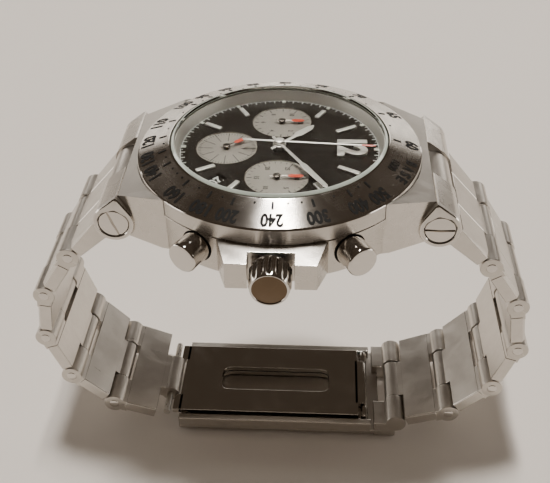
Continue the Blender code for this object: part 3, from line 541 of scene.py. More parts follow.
enamel = paintFinish("blackEnamel", {"colour": (0.012, 0.011, 0.010), "shade": 0.5, "grain": 4000,
                                     "roughness": 0.6, "relief": 0.2, "gloss": 0.15, "dust": 0.01})
lacquer = paintFinish("dialLacquer", {"colour": (0.014, 0.011, 0.009), "shade": 0.6, "grain": 7000,
                                      "roughness": 0.22, "relief": 0.1, "gloss": 0.35, "dust": 0.004})
whitePrint = paintFinish("whitePrint", {"colour": (0.80, 0.80, 0.78), "shade": 0.9, "grain": 6000,
                                        "roughness": 0.5, "relief": 0.2})
darkPrint = paintFinish("darkPrint", {"colour": (0.03, 0.025, 0.02), "shade": 0.7, "grain": 6000,
                                      "roughness": 0.45, "relief": 0.2})
lume = paintFinish("lume", {"colour": (0.66, 0.66, 0.60), "shade": 0.88, "grain": 9000, "roughness": 0.6,
                            "relief": 0.6})
redLacquer = paintFinish("redLacquer", {"colour": (0.85, 0.07, 0.02), "shade": 0.85, "grain": 5000,
                                        "roughness": 0.35, "relief": 0.15, "coat": 0.4})
rubber = paintFinish("blackRubber", {"colour": (0.02, 0.019, 0.018), "shade": 0.7, "grain": 5000,
                                     "roughness": 0.6, "relief": 0.5, "dust": 0.06})


def makeSilvered():
    # fine concentric grooves on the counters, each round its own centre, by the nearest of the three
    material, tree, shader, place = newMaterial("silveredCounter")
    centres = ((7.5, 0), (-7.5, 0), (0, -7.5))
    nearest = None
    flat = newNode(tree, "ShaderNodeVectorMath", {0: place, 1: (1, 1, 0)}, operation="MULTIPLY").outputs[0]
    for x, y in centres:
        gap = vectorMaths(tree, "DISTANCE", flat, (x * mm, y * mm, 0)).outputs["Value"]
        nearest = gap if nearest is None else maths(tree, "MINIMUM", nearest, gap)
    wave = maths(tree, "SINE", maths(tree, "MULTIPLY", nearest, 2 * math.pi / (0.16 * mm)))
    mottle = newNode(tree, "ShaderNodeTexNoise", {"Vector": place, "Scale": 3000.0, "Detail": 3.0})
    groove = remapped(tree, wave, -1.0, 1.0)
    ground = blendColours(tree, groove, (0.24, 0.215, 0.19, 1), (0.33, 0.30, 0.27, 1))
    aged = blendColours(tree, maths(tree, "MULTIPLY", mottle.outputs[0], 0.25), ground,
                        (0.40, 0.36, 0.31, 1))
    used = newNode(tree, "ShaderNodeGroup",
                   {"Colour": aged, "Roughness": 0.42, "Smears": 0.02, "Dust": 0.02},
                   node_tree=handling).outputs
    bump = newNode(tree, "ShaderNodeBump", {"Strength": 0.5, "Distance": 0.00002, "Height": groove})
    tree.links.new(used["Colour"], shader.inputs["Base Color"])
    tree.links.new(used["Roughness"], shader.inputs["Roughness"])
    tree.links.new(bump.outputs[0], shader.inputs["Normal"])
    shader.inputs["Metallic"].default_value = 0.35
    return material


silvered = makeSilvered()


def glassFinish(name, tint, roughness):
    # light reaches the dial through the Transparent part, and the eye sees the Principled one
    material, tree, shader, place = newMaterial(name)
    smear = newNode(tree, "ShaderNodeTexNoise",
                    {"Vector": place, "Scale": 240.0, "Detail": 3.0, "Distortion": 1.0})
    rough = remapped(tree, smear.outputs[0], 0.45, 0.75, roughness, roughness + 0.035)
    tree.links.new(rough, shader.inputs["Roughness"])
    shader.inputs["Base Color"].default_value = (*tint, 1)
    shader.inputs["Transmission Weight"].default_value = 1.0
    shader.inputs["IOR"].default_value = 1.5
    path = newNode(tree, "ShaderNodeLightPath").outputs
    through = maths(tree, "MAXIMUM", path["Is Shadow Ray"], path["Is Diffuse Ray"])
    clear = newNode(tree, "ShaderNodeBsdfTransparent", {"Color": (*tint, 1)})
    mix = newNode(tree, "ShaderNodeMixShader", {0: through, 1: shader.outputs[0], 2: clear.outputs[0]})
    output = next(node for node in tree.nodes if node.type == "OUTPUT_MATERIAL")
    tree.links.new(mix.outputs[0], output.inputs["Surface"])
    return material


crystalGlass = glassFinish("sapphireCrystal", (0.97, 0.985, 0.975), 0.01)
crystalEdge = paintFinish("crystalEdge", {"colour": (0.70, 0.78, 0.70), "shade": 0.93, "grain": 900,
                                          "roughness": 0.12, "relief": 0.05, "coat": 1.0})
print("finishes made:", len(bpy.data.materials))


# geometry node trees for what repeats

def makeRingTree():
    # repeats the incoming mark round an axis: Count places, Step degrees apart, leaving out every Skip-th
    inputs = [("Geometry", "NodeSocketGeometry", None), ("Count", "NodeSocketInt", 12),
              ("Step", number, 30.0),
              ("First", number, 0.0), ("Skip", "NodeSocketInt", 1000), ("Centre", vector, (0, 0, 0)),
              ("Finish", "NodeSocketMaterial", None)]
    tree, given, out = newGroup("marksInARing", "GeometryNodeTree", inputs,
                                [("Geometry", "NodeSocketGeometry")])
    index = newNode(tree, "GeometryNodeInputIndex").outputs[0]
    angle = maths(tree, "ADD", maths(tree, "MULTIPLY", index, given["Step"]), given["First"])
    turn = newNode(tree, "ShaderNodeCombineXYZ",
                   {2: maths(tree, "RADIANS", maths(tree, "MULTIPLY", angle, -1.0))})
    left = maths(tree, "MODULO", index, given["Skip"])
    wanted = maths(tree, "GREATER_THAN", left, 0.5)
    always = maths(tree, "GREATER_THAN", given["Skip"], 900.0)
    keep = maths(tree, "MAXIMUM", wanted, always)
    back = vectorMaths(tree, "SCALE", given["Centre"])
    back.inputs["Scale"].default_value = -1.0
    mark = newNode(tree, "GeometryNodeTransform",
                   {"Geometry": given["Geometry"], "Translation": back.outputs[0]})
    spots = newNode(tree, "GeometryNodePoints", {"Count": given["Count"], "Position": given["Centre"]})
    copies = newNode(tree, "GeometryNodeInstanceOnPoints", {
        "Points": spots.outputs[0], "Selection": keep, "Instance": mark.outputs[0],
        "Rotation": turn.outputs[0],
    })
    real = newNode(tree, "GeometryNodeRealizeInstances", {0: copies.outputs[0]})
    coated = newNode(tree, "GeometryNodeSetMaterial",
                     {"Geometry": real.outputs[0], "Material": given["Finish"]})
    tree.links.new(coated.outputs[0], out["Geometry"])
    return tree


def makeScaleTree():
    # the points carry their own turn, so that a mark can stand at each value of an uneven scale
    inputs = [("Geometry", "NodeSocketGeometry", None), ("Mark", "NodeSocketObject", None),
              ("Finish", "NodeSocketMaterial", None)]
    tree, given, out = newGroup("marksOnAScale", "GeometryNodeTree", inputs,
                                [("Geometry", "NodeSocketGeometry")])
    turn = newNode(tree, "GeometryNodeInputNamedAttribute", {"Name": "turn"}, data_type="FLOAT").outputs[0]
    rotation = newNode(tree, "ShaderNodeCombineXYZ", {2: maths(tree, "MULTIPLY", turn, -1.0)})
    mark = newNode(tree, "GeometryNodeObjectInfo", {"Object": given["Mark"]})
    copies = newNode(tree, "GeometryNodeInstanceOnPoints", {
        "Points": given["Geometry"], "Instance": mark.outputs["Geometry"], "Rotation": rotation.outputs[0],
    })
    real = newNode(tree, "GeometryNodeRealizeInstances", {0: copies.outputs[0]})
    coated = newNode(tree, "GeometryNodeSetMaterial",
                     {"Geometry": real.outputs[0], "Material": given["Finish"]})
    tree.links.new(coated.outputs[0], out["Geometry"])
    return tree


def makeFluteTree():
    # presses rounded flutes into whatever lies beyond a radius from the Z axis, between two heights
    inputs = [("Geometry", "NodeSocketGeometry", None), ("Flutes", number, 16.0), ("Depth", number, 0.2),
              ("Beyond", number, 2.0), ("Low", number, 0.0), ("High", number, 3.0), ("Fade", number, 0.3)]
    tree, given, out = newGroup("flutes", "GeometryNodeTree", inputs, [("Geometry", "NodeSocketGeometry")])
    place = newNode(tree, "GeometryNodeInputPosition").outputs[0]
    split = newNode(tree, "ShaderNodeSeparateXYZ", {0: place}).outputs
    flat = newNode(tree, "ShaderNodeCombineXYZ", {0: split[0], 1: split[1]}).outputs[0]
    radius = vectorMaths(tree, "LENGTH", flat).outputs["Value"]
    angle = maths(tree, "ARCTAN2", split[1], split[0])
    wave = maths(tree, "ABSOLUTE", maths(tree, "SINE", maths(tree, "MULTIPLY", angle,
                                                             maths(tree, "MULTIPLY", given["Flutes"],
                                                                   0.5))))
    valley = maths(tree, "SUBTRACT", 1.0, maths(tree, "POWER", wave, 0.7))
    rising = maths(tree, "DIVIDE", maths(tree, "SUBTRACT", split[2], given["Low"]), given["Fade"],
                   clamp=True)
    falling = maths(tree, "DIVIDE", maths(tree, "SUBTRACT", given["High"], split[2]), given["Fade"],
                    clamp=True)
    outside = maths(tree, "GREATER_THAN", radius, given["Beyond"])
    amount = maths(tree, "MULTIPLY", maths(tree, "MULTIPLY", valley, outside),
                   maths(tree, "MULTIPLY", rising, falling))
    inward = vectorMaths(tree, "SCALE", vectorMaths(tree, "NORMALIZE", flat).outputs[0])
    tree.links.new(maths(tree, "MULTIPLY", maths(tree, "MULTIPLY", amount, given["Depth"]), -1.0),
                   inward.inputs["Scale"])
    pressed = newNode(tree, "GeometryNodeSetPosition",
                      {"Geometry": given["Geometry"], "Offset": inward.outputs[0]})
    tree.links.new(pressed.outputs[0], out["Geometry"])
    return tree


ringTree, scaleTree, fluteTree = makeRingTree(), makeScaleTree(), makeFluteTree()


def throughTree(tree, source, values):
    # runs a geometry node tree on a shape and gives back the plain shape it makes
    thing = source if isinstance(source, bpy.types.Object) else helperObject(source)
    step = thing.modifiers.new("repeat", "NODES")
    step.node_group = tree
    sockets = {item.name: item.identifier for item in tree.interface.items_tree
               if item.item_type == "SOCKET" and item.in_out == "INPUT"}
    for label, value in values.items():
        step[sockets[label]] = value
    mesh = evaluatedMesh(thing)
    bpy.data.objects.remove(thing)
    bm = bmesh.new()
    bm.from_mesh(mesh)
    bpy.data.meshes.remove(mesh)
    return bm


def ringOf(mark, count, step=None, first=0.0, skip=1000, centre=(0, 0, 0)):
    values = {"Count": count, "Step": float(step or 360 / count), "First": float(first), "Skip": skip,
              "Centre": tuple(float(c) for c in centre)}
    return throughTree(ringTree, mark, values)


def scaleOf(mark, turns):
    bm = bmesh.new()
    layer = bm.verts.layers.float.new("turn")
    for turn in turns:
        bm.verts.new((0, 0, 0))[layer] = math.radians(turn)
    tool = helperObject(mark, "mark")
    result = throughTree(scaleTree, bm, {"Mark": tool})
    bpy.data.objects.remove(tool)
    return result


# bezel and its scale

bezelLow, bezelHigh = boxOf("bezel")
crystalLow, crystalHigh = boxOf("crystal")
bezel = {
    "radius": bezelHigh.x, "seam": bezelLow.z, "edgeHeight": 10.03, "rimHeight": bezelHigh.z,
    "rimWidth": 0.15, "bore": crystalHigh.x + 0.1, "inner": 16.0, "ledge": 14.9, "gasketRoom": 0.27,
    "polishedEdge": 0.16, "numberRadius": 18.6, "numberHeight": 2.05, "numberWidth": 0.96,
    "tickRadius": 16.5, "tickLength": 1.15, "tickWidth": 0.3, "dotRadius": 16.2, "dotSize": 0.14,
}
scaleValues = [60, 65, 70, 75, 80, 85, 90, 95, 100, 110, 120, 130, 140, 160, 180, 200, 240, 300, 400, 500]


def bezelSlope():
    run = bezel["radius"] - bezel["bore"] - bezel["rimWidth"]
    return math.atan2(bezel["rimHeight"] - bezel["edgeHeight"], run)


def onBezel(turn, radius, lift):
    slope = bezelSlope()
    height = bezel["edgeHeight"] + (bezel["radius"] - radius) * math.tan(slope)
    x, y = atClock(radius + lift * math.sin(slope), turn)
    return Vector((x, y, height + lift * math.cos(slope)))


def wrapOnBezel(bm, turn, radius):
    # flat drawing (right, up, thickness) laid on the cone, its top outwards
    cosine = math.cos(bezelSlope())
    for vert in bm.verts:
        right, up, thick = vert.co
        vert.co = onBezel(turn + math.degrees(right / radius), radius + up * cosine, thick - 0.05)
    return bm


def buildBezel():
    b = bezel
    edge = b["polishedEdge"]
    slope = bezelSlope()
    profile = [
        (b["inner"], b["seam"]), (b["radius"] - 0.1, b["seam"]), (b["radius"], b["seam"] + 0.1),
        (b["radius"], b["edgeHeight"] - edge),
        (b["radius"] - edge * 0.35, b["edgeHeight"] - edge * 0.25),
        (b["radius"] - edge * 1.3, b["edgeHeight"] + edge * 1.3 * math.tan(slope)),
        (b["bore"] + b["rimWidth"] + 0.1, b["rimHeight"] - 0.07),
        (b["bore"] + b["rimWidth"] - 0.02, b["rimHeight"]), (b["bore"], b["rimHeight"]),
        (b["bore"], crystalLow.z - b["gasketRoom"]), (b["ledge"], crystalLow.z - b["gasketRoom"]),
        (b["ledge"], 9.2), (b["inner"], 9.2),
    ]
    shell = turnedShell(profile, 288)
    polishedBand = (b["edgeHeight"] - edge - 0.01, b["edgeHeight"] + edge)
    for face in shell.faces:
        middle = face.calc_center_median()
        radius = math.hypot(middle.x, middle.y)
        onEdge = polishedBand[0] < middle.z < polishedBand[1] and radius > b["radius"] - edge * 1.35
        onRim = radius < b["bore"] + b["rimWidth"] + 0.12 and middle.z > b["rimHeight"] - 0.2
        face.material_index = 1 if onEdge or onRim else 0
    finishPiece("bezelRing", shell, [brushedRound, polished], "case", ["bezel"], sharp=12)

    marks = []
    for value in scaleValues:
        text = str(value)
        drawing = lettering(text, b["numberHeight"], width=b["numberWidth"] * len(text), depth=0.075,
                            weight=0.04)
        marks.append(wrapOnBezel(drawing, 21600 / value % 360, b["numberRadius"]))
    small = lettering("1000", 1.25, width=2.3, depth=0.075, weight=0.012)
    marks.append(wrapOnBezel(small, 21.6, 16.95))
    for letter, turn in zip("BASE", (14.5, 18.9, 23.4, 27.6)):
        marks.append(wrapOnBezel(lettering(letter, 1.6, width=0.95, depth=0.075, weight=0.03), turn, 18.8))
    half, reach = b["tickWidth"] / 2, b["tickLength"] / 2
    tick = plate([(-half, -reach), (half, -reach), (half, reach), (-half, reach)], 0, 0.075)
    tick = wrapOnBezel(tick, 0, b["tickRadius"])
    dot = wrapOnBezel(plate(circle(b["dotSize"], steps=12), 0, 0.075), 0, b["dotRadius"])
    dotValues = [62.5, 67.5, 72.5, 77.5, 82.5, 87.5, 92.5, 97.5, 105, 115, 125, 135, 145, 150, 155, 170,
                 190, 220,
                 260, 280, 350, 450]
    marks += [scaleOf(tick, [21600 / value for value in scaleValues]),
              scaleOf(dot, [21600 / value for value in dotValues])]
    finishPiece("bezelScale", marks, [enamel], "case")


buildBezel()
print("bezel ready")


# crystal, its seal and the ring under it

def buildCrystal():
    edge, radius, clear = 0.35, crystalHigh.x, 14.8
    low, high = crystalLow.z, crystalHigh.z
    disc = [(0, low), (clear, low), (clear, high - 0.01), (0, high - 0.01)]
    finishPiece("crystalDisc", turnedShell(disc, 288), [crystalGlass], "case",
                ["crystal"])
    rim = [(clear + 0.01, low), (radius, low), (radius, high - edge), (radius - edge * 0.85, high),
           (clear + 0.01, high)]
    finishPiece("crystalRim", turnedShell(filleted(rim, 0.05, closed=True), 288), [crystalEdge], "case")
    seal = [(14.93, low - 0.2), (radius - 0.01, low - 0.2), (radius - 0.01, low - 0.02),
            (14.93, low - 0.02)]
    finishPiece("crystalSeal", turnedShell(seal, 288), [crystalEdge], "case",
                ["crystal_gasket"])


def buildFlange():
    low, high = boxOf("inner_flange")
    foot, outer, inner = low.z, high.x, 14.1
    outline = [(inner, foot), (outer, foot), (outer, high.z), (inner + 0.62, high.z),
               (inner + 0.55, high.z - 0.05)]
    finishPiece("dialFlange", turnedShell(filleted(outline, 0.04, closed=True), 288), [brightSatin], "case",
                ["inner_flange"], sharp=25)


buildCrystal()
buildFlange()


# dial

dialLow, dialHigh = boxOf("dial")
counterPlaces = {"minutes": (7.5, 0), "hours": (-7.5, 0), "seconds": (0, -7.5)}
dial = {
    "radius": dialHigh.x, "top": dialHigh.z, "bottom": dialHigh.z - 0.3, "counterRadius": 4.3,
    "counterDrop": 0.1,
    "trackOuter": 14.02, "trackLength": 0.62, "trackWidth": 0.12, "print": 0.02, "dotRadius": 13.66,
    "window": (2.4, 1.9), "windowRadius": 11.55, "windowTurn": 135,
    "batons": {1: (9.6, 12.9), 2: (10.4, 12.4), 4: (10.2, 12.3), 5: (10.0, 12.8), 7: (10.2, 13.0),
               8: (10.4, 12.9),
               10: (10.2, 12.5), 11: (9.3, 12.6)},
}


def standing(bm, turn, radius=0.0, height=0.0):
    # a drawing made pointing to 12 o'clock goes to its clock place, still pointing out
    place = Matrix.Rotation(math.radians(-turn), 4, "Z") @ Matrix.Translation((0, radius, height))
    return moved(bm, place)


def upright(bm, centre, turn, radius, height):
    x, y = atClock(radius, turn, centre)
    return shifted(bm, x, y, height)


def windowOutline(grow=0.0):
    halfX, halfY = (size / 2 + grow for size in dial["window"])
    turn = Matrix.Rotation(math.radians(90 - dial["windowTurn"]), 2)
    middle = Vector(atClock(dial["windowRadius"], dial["windowTurn"]))
    return [tuple(middle + turn @ Vector(p)) for p in ((-halfX, -halfY), (halfX, -halfY), (halfX, halfY),
                                                       (-halfX, halfY))]


def buildDial():
    d = dial
    top = d["top"]
    holes = [circle(1.05, steps=48),
             windowOutline()] + [circle(d["counterRadius"], c, 96) for c in counterPlaces.values()]
    face = plate(circle(d["radius"], steps=192), d["bottom"], top, holes)
    floors = [plate(circle(d["counterRadius"] + 0.1, c, 96), d["bottom"] - 0.05, top - d["counterDrop"],
                    [circle(0.32, c, 24)]) for c in counterPlaces.values()]
    finishPiece("dialPlate", face, [lacquer], "case", ["dial"])
    finishPiece("counterFloors", floors, [silvered], "case")

    applied = []
    rims = []
    for centre in counterPlaces.values():
        rim = [(d["counterRadius"] - 0.06, top - d["counterDrop"] - 0.05),
               (d["counterRadius"] + 0.1, top - 0.05),
               (d["counterRadius"] + 0.1, top + 0.02), (d["counterRadius"] + 0.02, top + 0.04)]
        rims.append(shifted(turnedShell(rim, 128), *centre))
    for hour, (start, end) in d["batons"].items():
        baton = eased(brick((-0.36, start, top - 0.02), (0.36, end, top + 0.3)), 0.1)
        applied.append(standing(baton, hour * 30))
    twelve = lettering("12", 4.3, width=4.3, depth=0.42, weight=0.035, roundness=0.012)
    applied.append(shifted(twelve, 0, 10.3, top - 0.03))
    finishPiece("dialAppliques", applied, [brightSatin], "case")
    finishPiece("counterRims", rims, [polished], "case")

    stripes = []
    for hour, (start, end) in d["batons"].items():
        stripes.append(standing(eased(brick((-0.15, start + 0.3, top + 0.2),
                                            (0.15, end - 0.3, top + 0.32)), 0.03), hour * 30))
    block = brick((-0.26, d["dotRadius"] - 0.32, top - 0.02), (0.26, d["dotRadius"] + 0.32, top + 0.14))
    stripes.append(ringOf(eased(block, 0.06), 12))
    finishPiece("dialLume", stripes, [lume], "case")

    half = d["trackWidth"] / 2
    minute = brick((-half, d["trackOuter"] - d["trackLength"], top - 0.01),
                   (half, d["trackOuter"], top + d["print"]))
    quarter = brick((-half * 0.6, d["trackOuter"] - 0.32, top - 0.01),
                    (half * 0.6, d["trackOuter"], top + d["print"]))
    track = turnedShell([(d["trackOuter"] - 0.03, top - 0.01), (d["trackOuter"] + 0.04, top - 0.01),
                         (d["trackOuter"] + 0.04, top + d["print"]),
                         (d["trackOuter"] - 0.03, top + d["print"])], 240)
    marks = [ringOf(minute, 60, skip=5), ringOf(quarter, 120, skip=2), track]
    finishPiece("dialMinuteTrack", marks, [whitePrint], "case")


def buildCounterPrint():
    # counter scales: a tick ring, longer ticks where the numbers stand, and the numbers upright
    floor = dial["top"] - dial["counterDrop"]
    rows = {
        "minutes": (30, 5, ["30", "5", "10", "15", "20", "25"], 0.72),
        "hours": (24, 2, ["12", "2", "4", "6", "8", "10"], 0.72),
        "seconds": (60, 5, [], 0.0),
    }
    marks = []
    for name, (count, longEvery, numbers, size) in rows.items():
        centre = counterPlaces[name]
        x, y = centre
        short = brick((x - 0.045, y + 3.7, floor - 0.01), (x + 0.045, y + 4.1, floor + 0.015))
        long = brick((x - 0.08, y + 3.4, floor - 0.01), (x + 0.08, y + 4.1, floor + 0.016))
        marks.append(ringOf(short, count, centre=(x, y, 0)))
        marks.append(ringOf(long, count // longEvery, centre=(x, y, 0)))
        if name == "seconds":
            ray = brick((x - 0.05, y + 2.0, floor - 0.01), (x + 0.05, y + 3.3, floor + 0.016))
            marks.append(ringOf(ray, 12, centre=(x, y, 0)))
        for i, text in enumerate(numbers):
            drawing = lettering(text, size, condensed=0.9, depth=0.03, weight=0.035)
            marks.append(upright(drawing, centre, i * 360 / len(numbers), 2.75, floor - 0.01))
    finishPiece("counterPrint", marks, [darkPrint], "case")


def buildDateDisc():
    low, high = boxOf("date_disc")
    top = dial["bottom"] - 0.1
    profile = [(10.2, low.z), (high.x, low.z), (high.x, top), (10.2, top)]
    finishPiece("dateDisc", turnedShell(filleted(profile, 0.05, closed=True), 240), [lacquer], "date_disc",
                ["date_disc"])
    numbers = []
    shown = 20
    for day in range(1, 32):
        turn = dial["windowTurn"] + (day - shown) * 360 / 31
        drawing = lettering(str(day), 1.75, width=1.0 * len(str(day)), depth=0.03, weight=0.02)
        spun(drawing, 90)
        numbers.append(standing(drawing, turn, dial["windowRadius"], top - 0.01))
    finishPiece("dateNumbers", numbers, [whitePrint], "date_disc")


buildDial()
buildCounterPrint()
buildDateDisc()
print("dial ready")


# hands

hands = {
    "hour_hand": {"body": "hour_hand", "reach": 7.2, "tail": 1.6, "turn": 311, "width": 1.25, "neck": 0.5,
                  "hub": 0.95, "swell": 0.52, "centre": (0, 0)},
    "minute_hand": {"body": "minute_hand", "reach": 13.3, "tail": 1.9, "turn": 58.5, "width": 0.9,
                    "neck": 0.42,
                    "hub": 0.8, "swell": 0.5, "centre": (0, 0)},
}


def ridged(outline, low, edge, ridge, finish=0):
    # a flat hand with a raised spine: the outline's two sides meet along x = 0
    bm = bmesh.new()
    foot = [bm.verts.new((x, y, low)) for x, y in outline]
    rim = [bm.verts.new((x, y, edge)) for x, y in outline]
    count = len(outline)
    spine = {}
    for i in range(count):
        y = outline[i][1]
        partner = count - 1 - i
        key = min(i, partner)
        if key not in spine:
            spine[key] = bm.verts.new((0, (y + outline[partner][1]) / 2, ridge))
    for i in range(count):
        j = (i + 1) % count
        bm.faces.new((foot[i], foot[j], rim[j], rim[i]))
        a, b = spine[min(i, count - 1 - i)], spine[min(j, count - 1 - j)]
        corners = list(dict.fromkeys((rim[i], rim[j], b, a)))
        bm.faces.new(corners)
    bm.faces.new(foot[::-1])
    bmesh.ops.recalc_face_normals(bm, faces=bm.faces)
    return painted(bm, finish)


def mirroredOutline(rightSide):
    # from the tip down the right side, then up the left
    return rightSide + [(-x, y) for x, y in rightSide[::-1]]


def clocked(bm, centre, turn):
    return moved(bm, Matrix.Translation((*centre, 0)) @ Matrix.Rotation(math.radians(-turn), 4, "Z"))


def buildMainHands():
    for node, h in hands.items():
        low, high = boxOf(node)
        base = high.z - 0.17
        reach, width, neck = h["reach"], h["width"] / 2, h["neck"] / 2
        side = [(0.07, reach), (width * 0.8, reach - 0.75), (width, reach * h["swell"] + 0.3),
                (neck * 1.15, reach * h["swell"] - 0.5), (neck, 0.6), (neck, -h["tail"])]
        blade = ridged(mirroredOutline(side), base, base + 0.06, base + 0.15)
        stripe = [(0.05, reach - 0.55), (width * 0.5, reach - 1.0),
                  (width * 0.56, reach * h["swell"] + 0.55),
                  (0.05, reach * h["swell"] + 0.2)]
        inlay = plate(mirroredOutline(stripe), base + 0.02, base + 0.155)
        hub = turnedShell(filleted([(0, base - 0.02), (h["hub"], base - 0.02), (h["hub"], base + 0.2),
                                    (h["hub"] * 0.75, base + 0.27), (0, base + 0.27)], 0.05), 64)
        pipe = turnedShell([(0, low.z), (h["hub"] * 0.55, low.z), (h["hub"] * 0.55, base), (0, base)], 32)
        shells = [clocked(shell, h["centre"],
                          h["turn"]) for shell in (blade, painted(eased(inlay, 0.02), 1), hub, pipe)]
        finishPiece(node.replace("_h", "H"), shells, [brightSatin, lume], h["body"],
                    [node], sharp=20)


def buildSecondsHand():
    low, high = boxOf("chronograph_seconds_hand")
    base = high.z - 0.17
    reach, tail = 13.5, 5.1
    needle = ridged(mirroredOutline([(0.11, reach - 1.6), (0.16, 1.0), (0.19, -1.0), (0.17, -tail)]), base,
                    base + 0.06, base + 0.1)
    tip = painted(ridged(mirroredOutline([(0.06, reach), (0.19, reach - 0.5), (0.17, reach - 1.9)]), base,
                         base + 0.07, base + 0.13), 1)
    hub = turnedShell(filleted([(0, base - 0.03), (0.72, base - 0.03), (0.72, base + 0.2),
                                (0.5, base + 0.3),
                                (0, base + 0.34)], 0.05), 64)
    weight = turnedShell(filleted([(0, base - 0.01), (0.34, base - 0.01), (0.34, base + 0.1),
                                   (0, base + 0.1)], 0.03), 32)
    pipe = turnedShell([(0, low.z), (0.25, low.z), (0.25, base), (0, base)], 24)
    shells = [needle, tip, hub, shifted(weight, 0, -tail + 0.2), pipe]
    finishPiece("chronographSeconds", [clocked(s, (0, 0), 4) for s in shells], [brightSatin, redLacquer],
                "chronograph_seconds", ["chronograph_seconds_hand"], sharp=20)


def buildCounterHands():
    rows = {
        "minute_counter_hand": ("minute_counter", counterPlaces["minutes"], 3.6, 0),
        "hour_counter_hand": ("hour_counter", counterPlaces["hours"], 3.3, 0),
        "small_seconds_hand": ("fourth_wheel", counterPlaces["seconds"], 3.1, 320),
    }
    for node, (body, centre, reach, turn) in rows.items():
        low, high = boxOf(node)
        base = high.z - 0.17
        stem = ridged(mirroredOutline([(0.1, reach * 0.62), (0.13, 0.3), (0.15, -0.95)]), base,
                      base + 0.05, base + 0.1)
        head = [(0.12, reach), (0.34, reach - 0.35), (0.36, reach * 0.55), (0.12, reach * 0.42)]
        tip = painted(ridged(mirroredOutline(head), base, base + 0.06, base + 0.11), 1)
        hub = turnedShell(filleted([(0, base - 0.02), (0.55, base - 0.02), (0.55, base + 0.12),
                                    (0.3, base + 0.2),
                                    (0, base + 0.2)], 0.04), 48)
        pipe = turnedShell([(0, low.z), (0.2, low.z), (0.2, base), (0, base)], 24)
        name = "".join(word.capitalize() if i else word for i, word in enumerate(node.split("_")))
        finishPiece(name, [clocked(s, centre, turn) for s in (stem, tip, hub, pipe)],
                    [darkSteel, redLacquer],
                    body, [node], sharp=20)


buildMainHands()
buildSecondsHand()
buildCounterHands()
print("hands ready")


# case middle: wall, shoulders, hinge barrels and crown guard

caseLow, caseHigh = boxOf("case_middle")
backLow, backHigh = boxOf("case_back")
case = {
    "radius": 20.0, "bore": 16.0, "low": 2.1, "high": bezelLow.z - 0.05, "bezelRoom": 20.06,
    "shoulders": [(14.0, 14.0, 2.1, 10.0), (15.3, 13.7, 2.1, 10.0), (21.2, 11.0, 2.5, 8.7)],
    "barrelRadius": 2.85, "ridge": (21.3, 8.9), "barrelEnd": 12.2, "tongueRoom": 4.1, "tongueRadius": 2.9,
    "headRadius": 2.15, "headDepth": 1.05,
    "guardRoot": 7.35, "guardSide": 6.75, "guardFront": 5.8, "guardReach": 22.9, "guardLow": 3.0,
    "guardHigh": 6.9,
    "notchStart": 21.0, "notchHalf": 2.975, "edge": 0.16,
}
hingeTop = jointPlace("unroll_12")
crownPlace = jointPlace("crown_turn")
pusherTurn = 29.8
pusherHeight = (boxOf("pusher_start")[0].z + boxOf("pusher_start")[1].z) / 2


def radialFrame(angle, height):
    # carries something made round Z to a radial axis at that angle from +X
    return (Matrix.Translation((0, 0, height)) @ Matrix.Rotation(math.radians(angle), 4, "Z")
            @ Matrix.Rotation(math.radians(90), 4, "Y"))


def acrossX(outline, low, high, holes=()):
    # an outline in (y, z) made as thick as from low to high along X
    toX = Matrix(((0, 0, 1), (1, 0, 0), (0, 1, 0))).to_4x4()
    return moved(plate(outline, low, high, holes), toX)


def teardrop():
    y, z = hingeTop.y, hingeTop.z
    ridgeY, ridgeZ = case["ridge"]
    distance = math.hypot(ridgeY - y, ridgeZ - z)
    towards = math.atan2(ridgeZ - z, ridgeY - y)
    spread = math.acos(case["barrelRadius"] / distance)
    steps = 56
    sweep = [towards + spread + (math.tau - 2 * spread) * i / steps for i in range(steps + 1)]
    arc = [(y + case["barrelRadius"] * math.cos(a), z + case["barrelRadius"] * math.sin(a)) for a in sweep]
    ridge = Vector(case["ridge"])
    first, last = Vector(arc[0]), Vector(arc[-1])
    near = [tuple(ridge.lerp(last, 0.12)), tuple(ridge.lerp(first.lerp(last, 0.5), 0.05)),
            tuple(ridge.lerp(first, 0.12))]
    return near + arc


def ringShell(rings):
    # outlines of one length, joined one to the next and the last to the first
    bm = bmesh.new()
    loops = [[bm.verts.new(point) for point in ring] for ring in rings]
    for a, b in zip(loops, loops[1:] + loops[:1]):
        for i in range(len(a)):
            bm.faces.new((a[i], a[i - 1], b[i - 1], b[i]))
    bmesh.ops.recalc_face_normals(bm, faces=bm.faces)
    return bm


def bossEnd(floor, end):
    # the ring round the screw head: straight wall, rounded rim, flat end, then the recess
    centre = Vector((hingeTop.y, hingeTop.z))
    drop = [Vector(point) - centre for point in teardrop()]
    head = case["headRadius"]

    def around(x, inset=None, radius=None):
        spokes = [p.normalized() * (radius if radius else p.length - inset) for p in drop]
        return [(x, centre.x + p.x, centre.y + p.y) for p in spokes]

    rings = [around(floor, 0), around(end - 0.3, 0), around(end - 0.2, 0.04), around(end - 0.07, 0.13),
             around(end, 0.3), around(end, radius=head + 0.1), around(end - 0.1, radius=head),
             around(floor, radius=head)]
    bm = ringShell(rings)
    for face in bm.faces:
        x = abs(face.calc_center_median().x)
        face.material_index = 1 if abs(end) - 0.31 < x < abs(end) - 0.001 else 3
    return bm


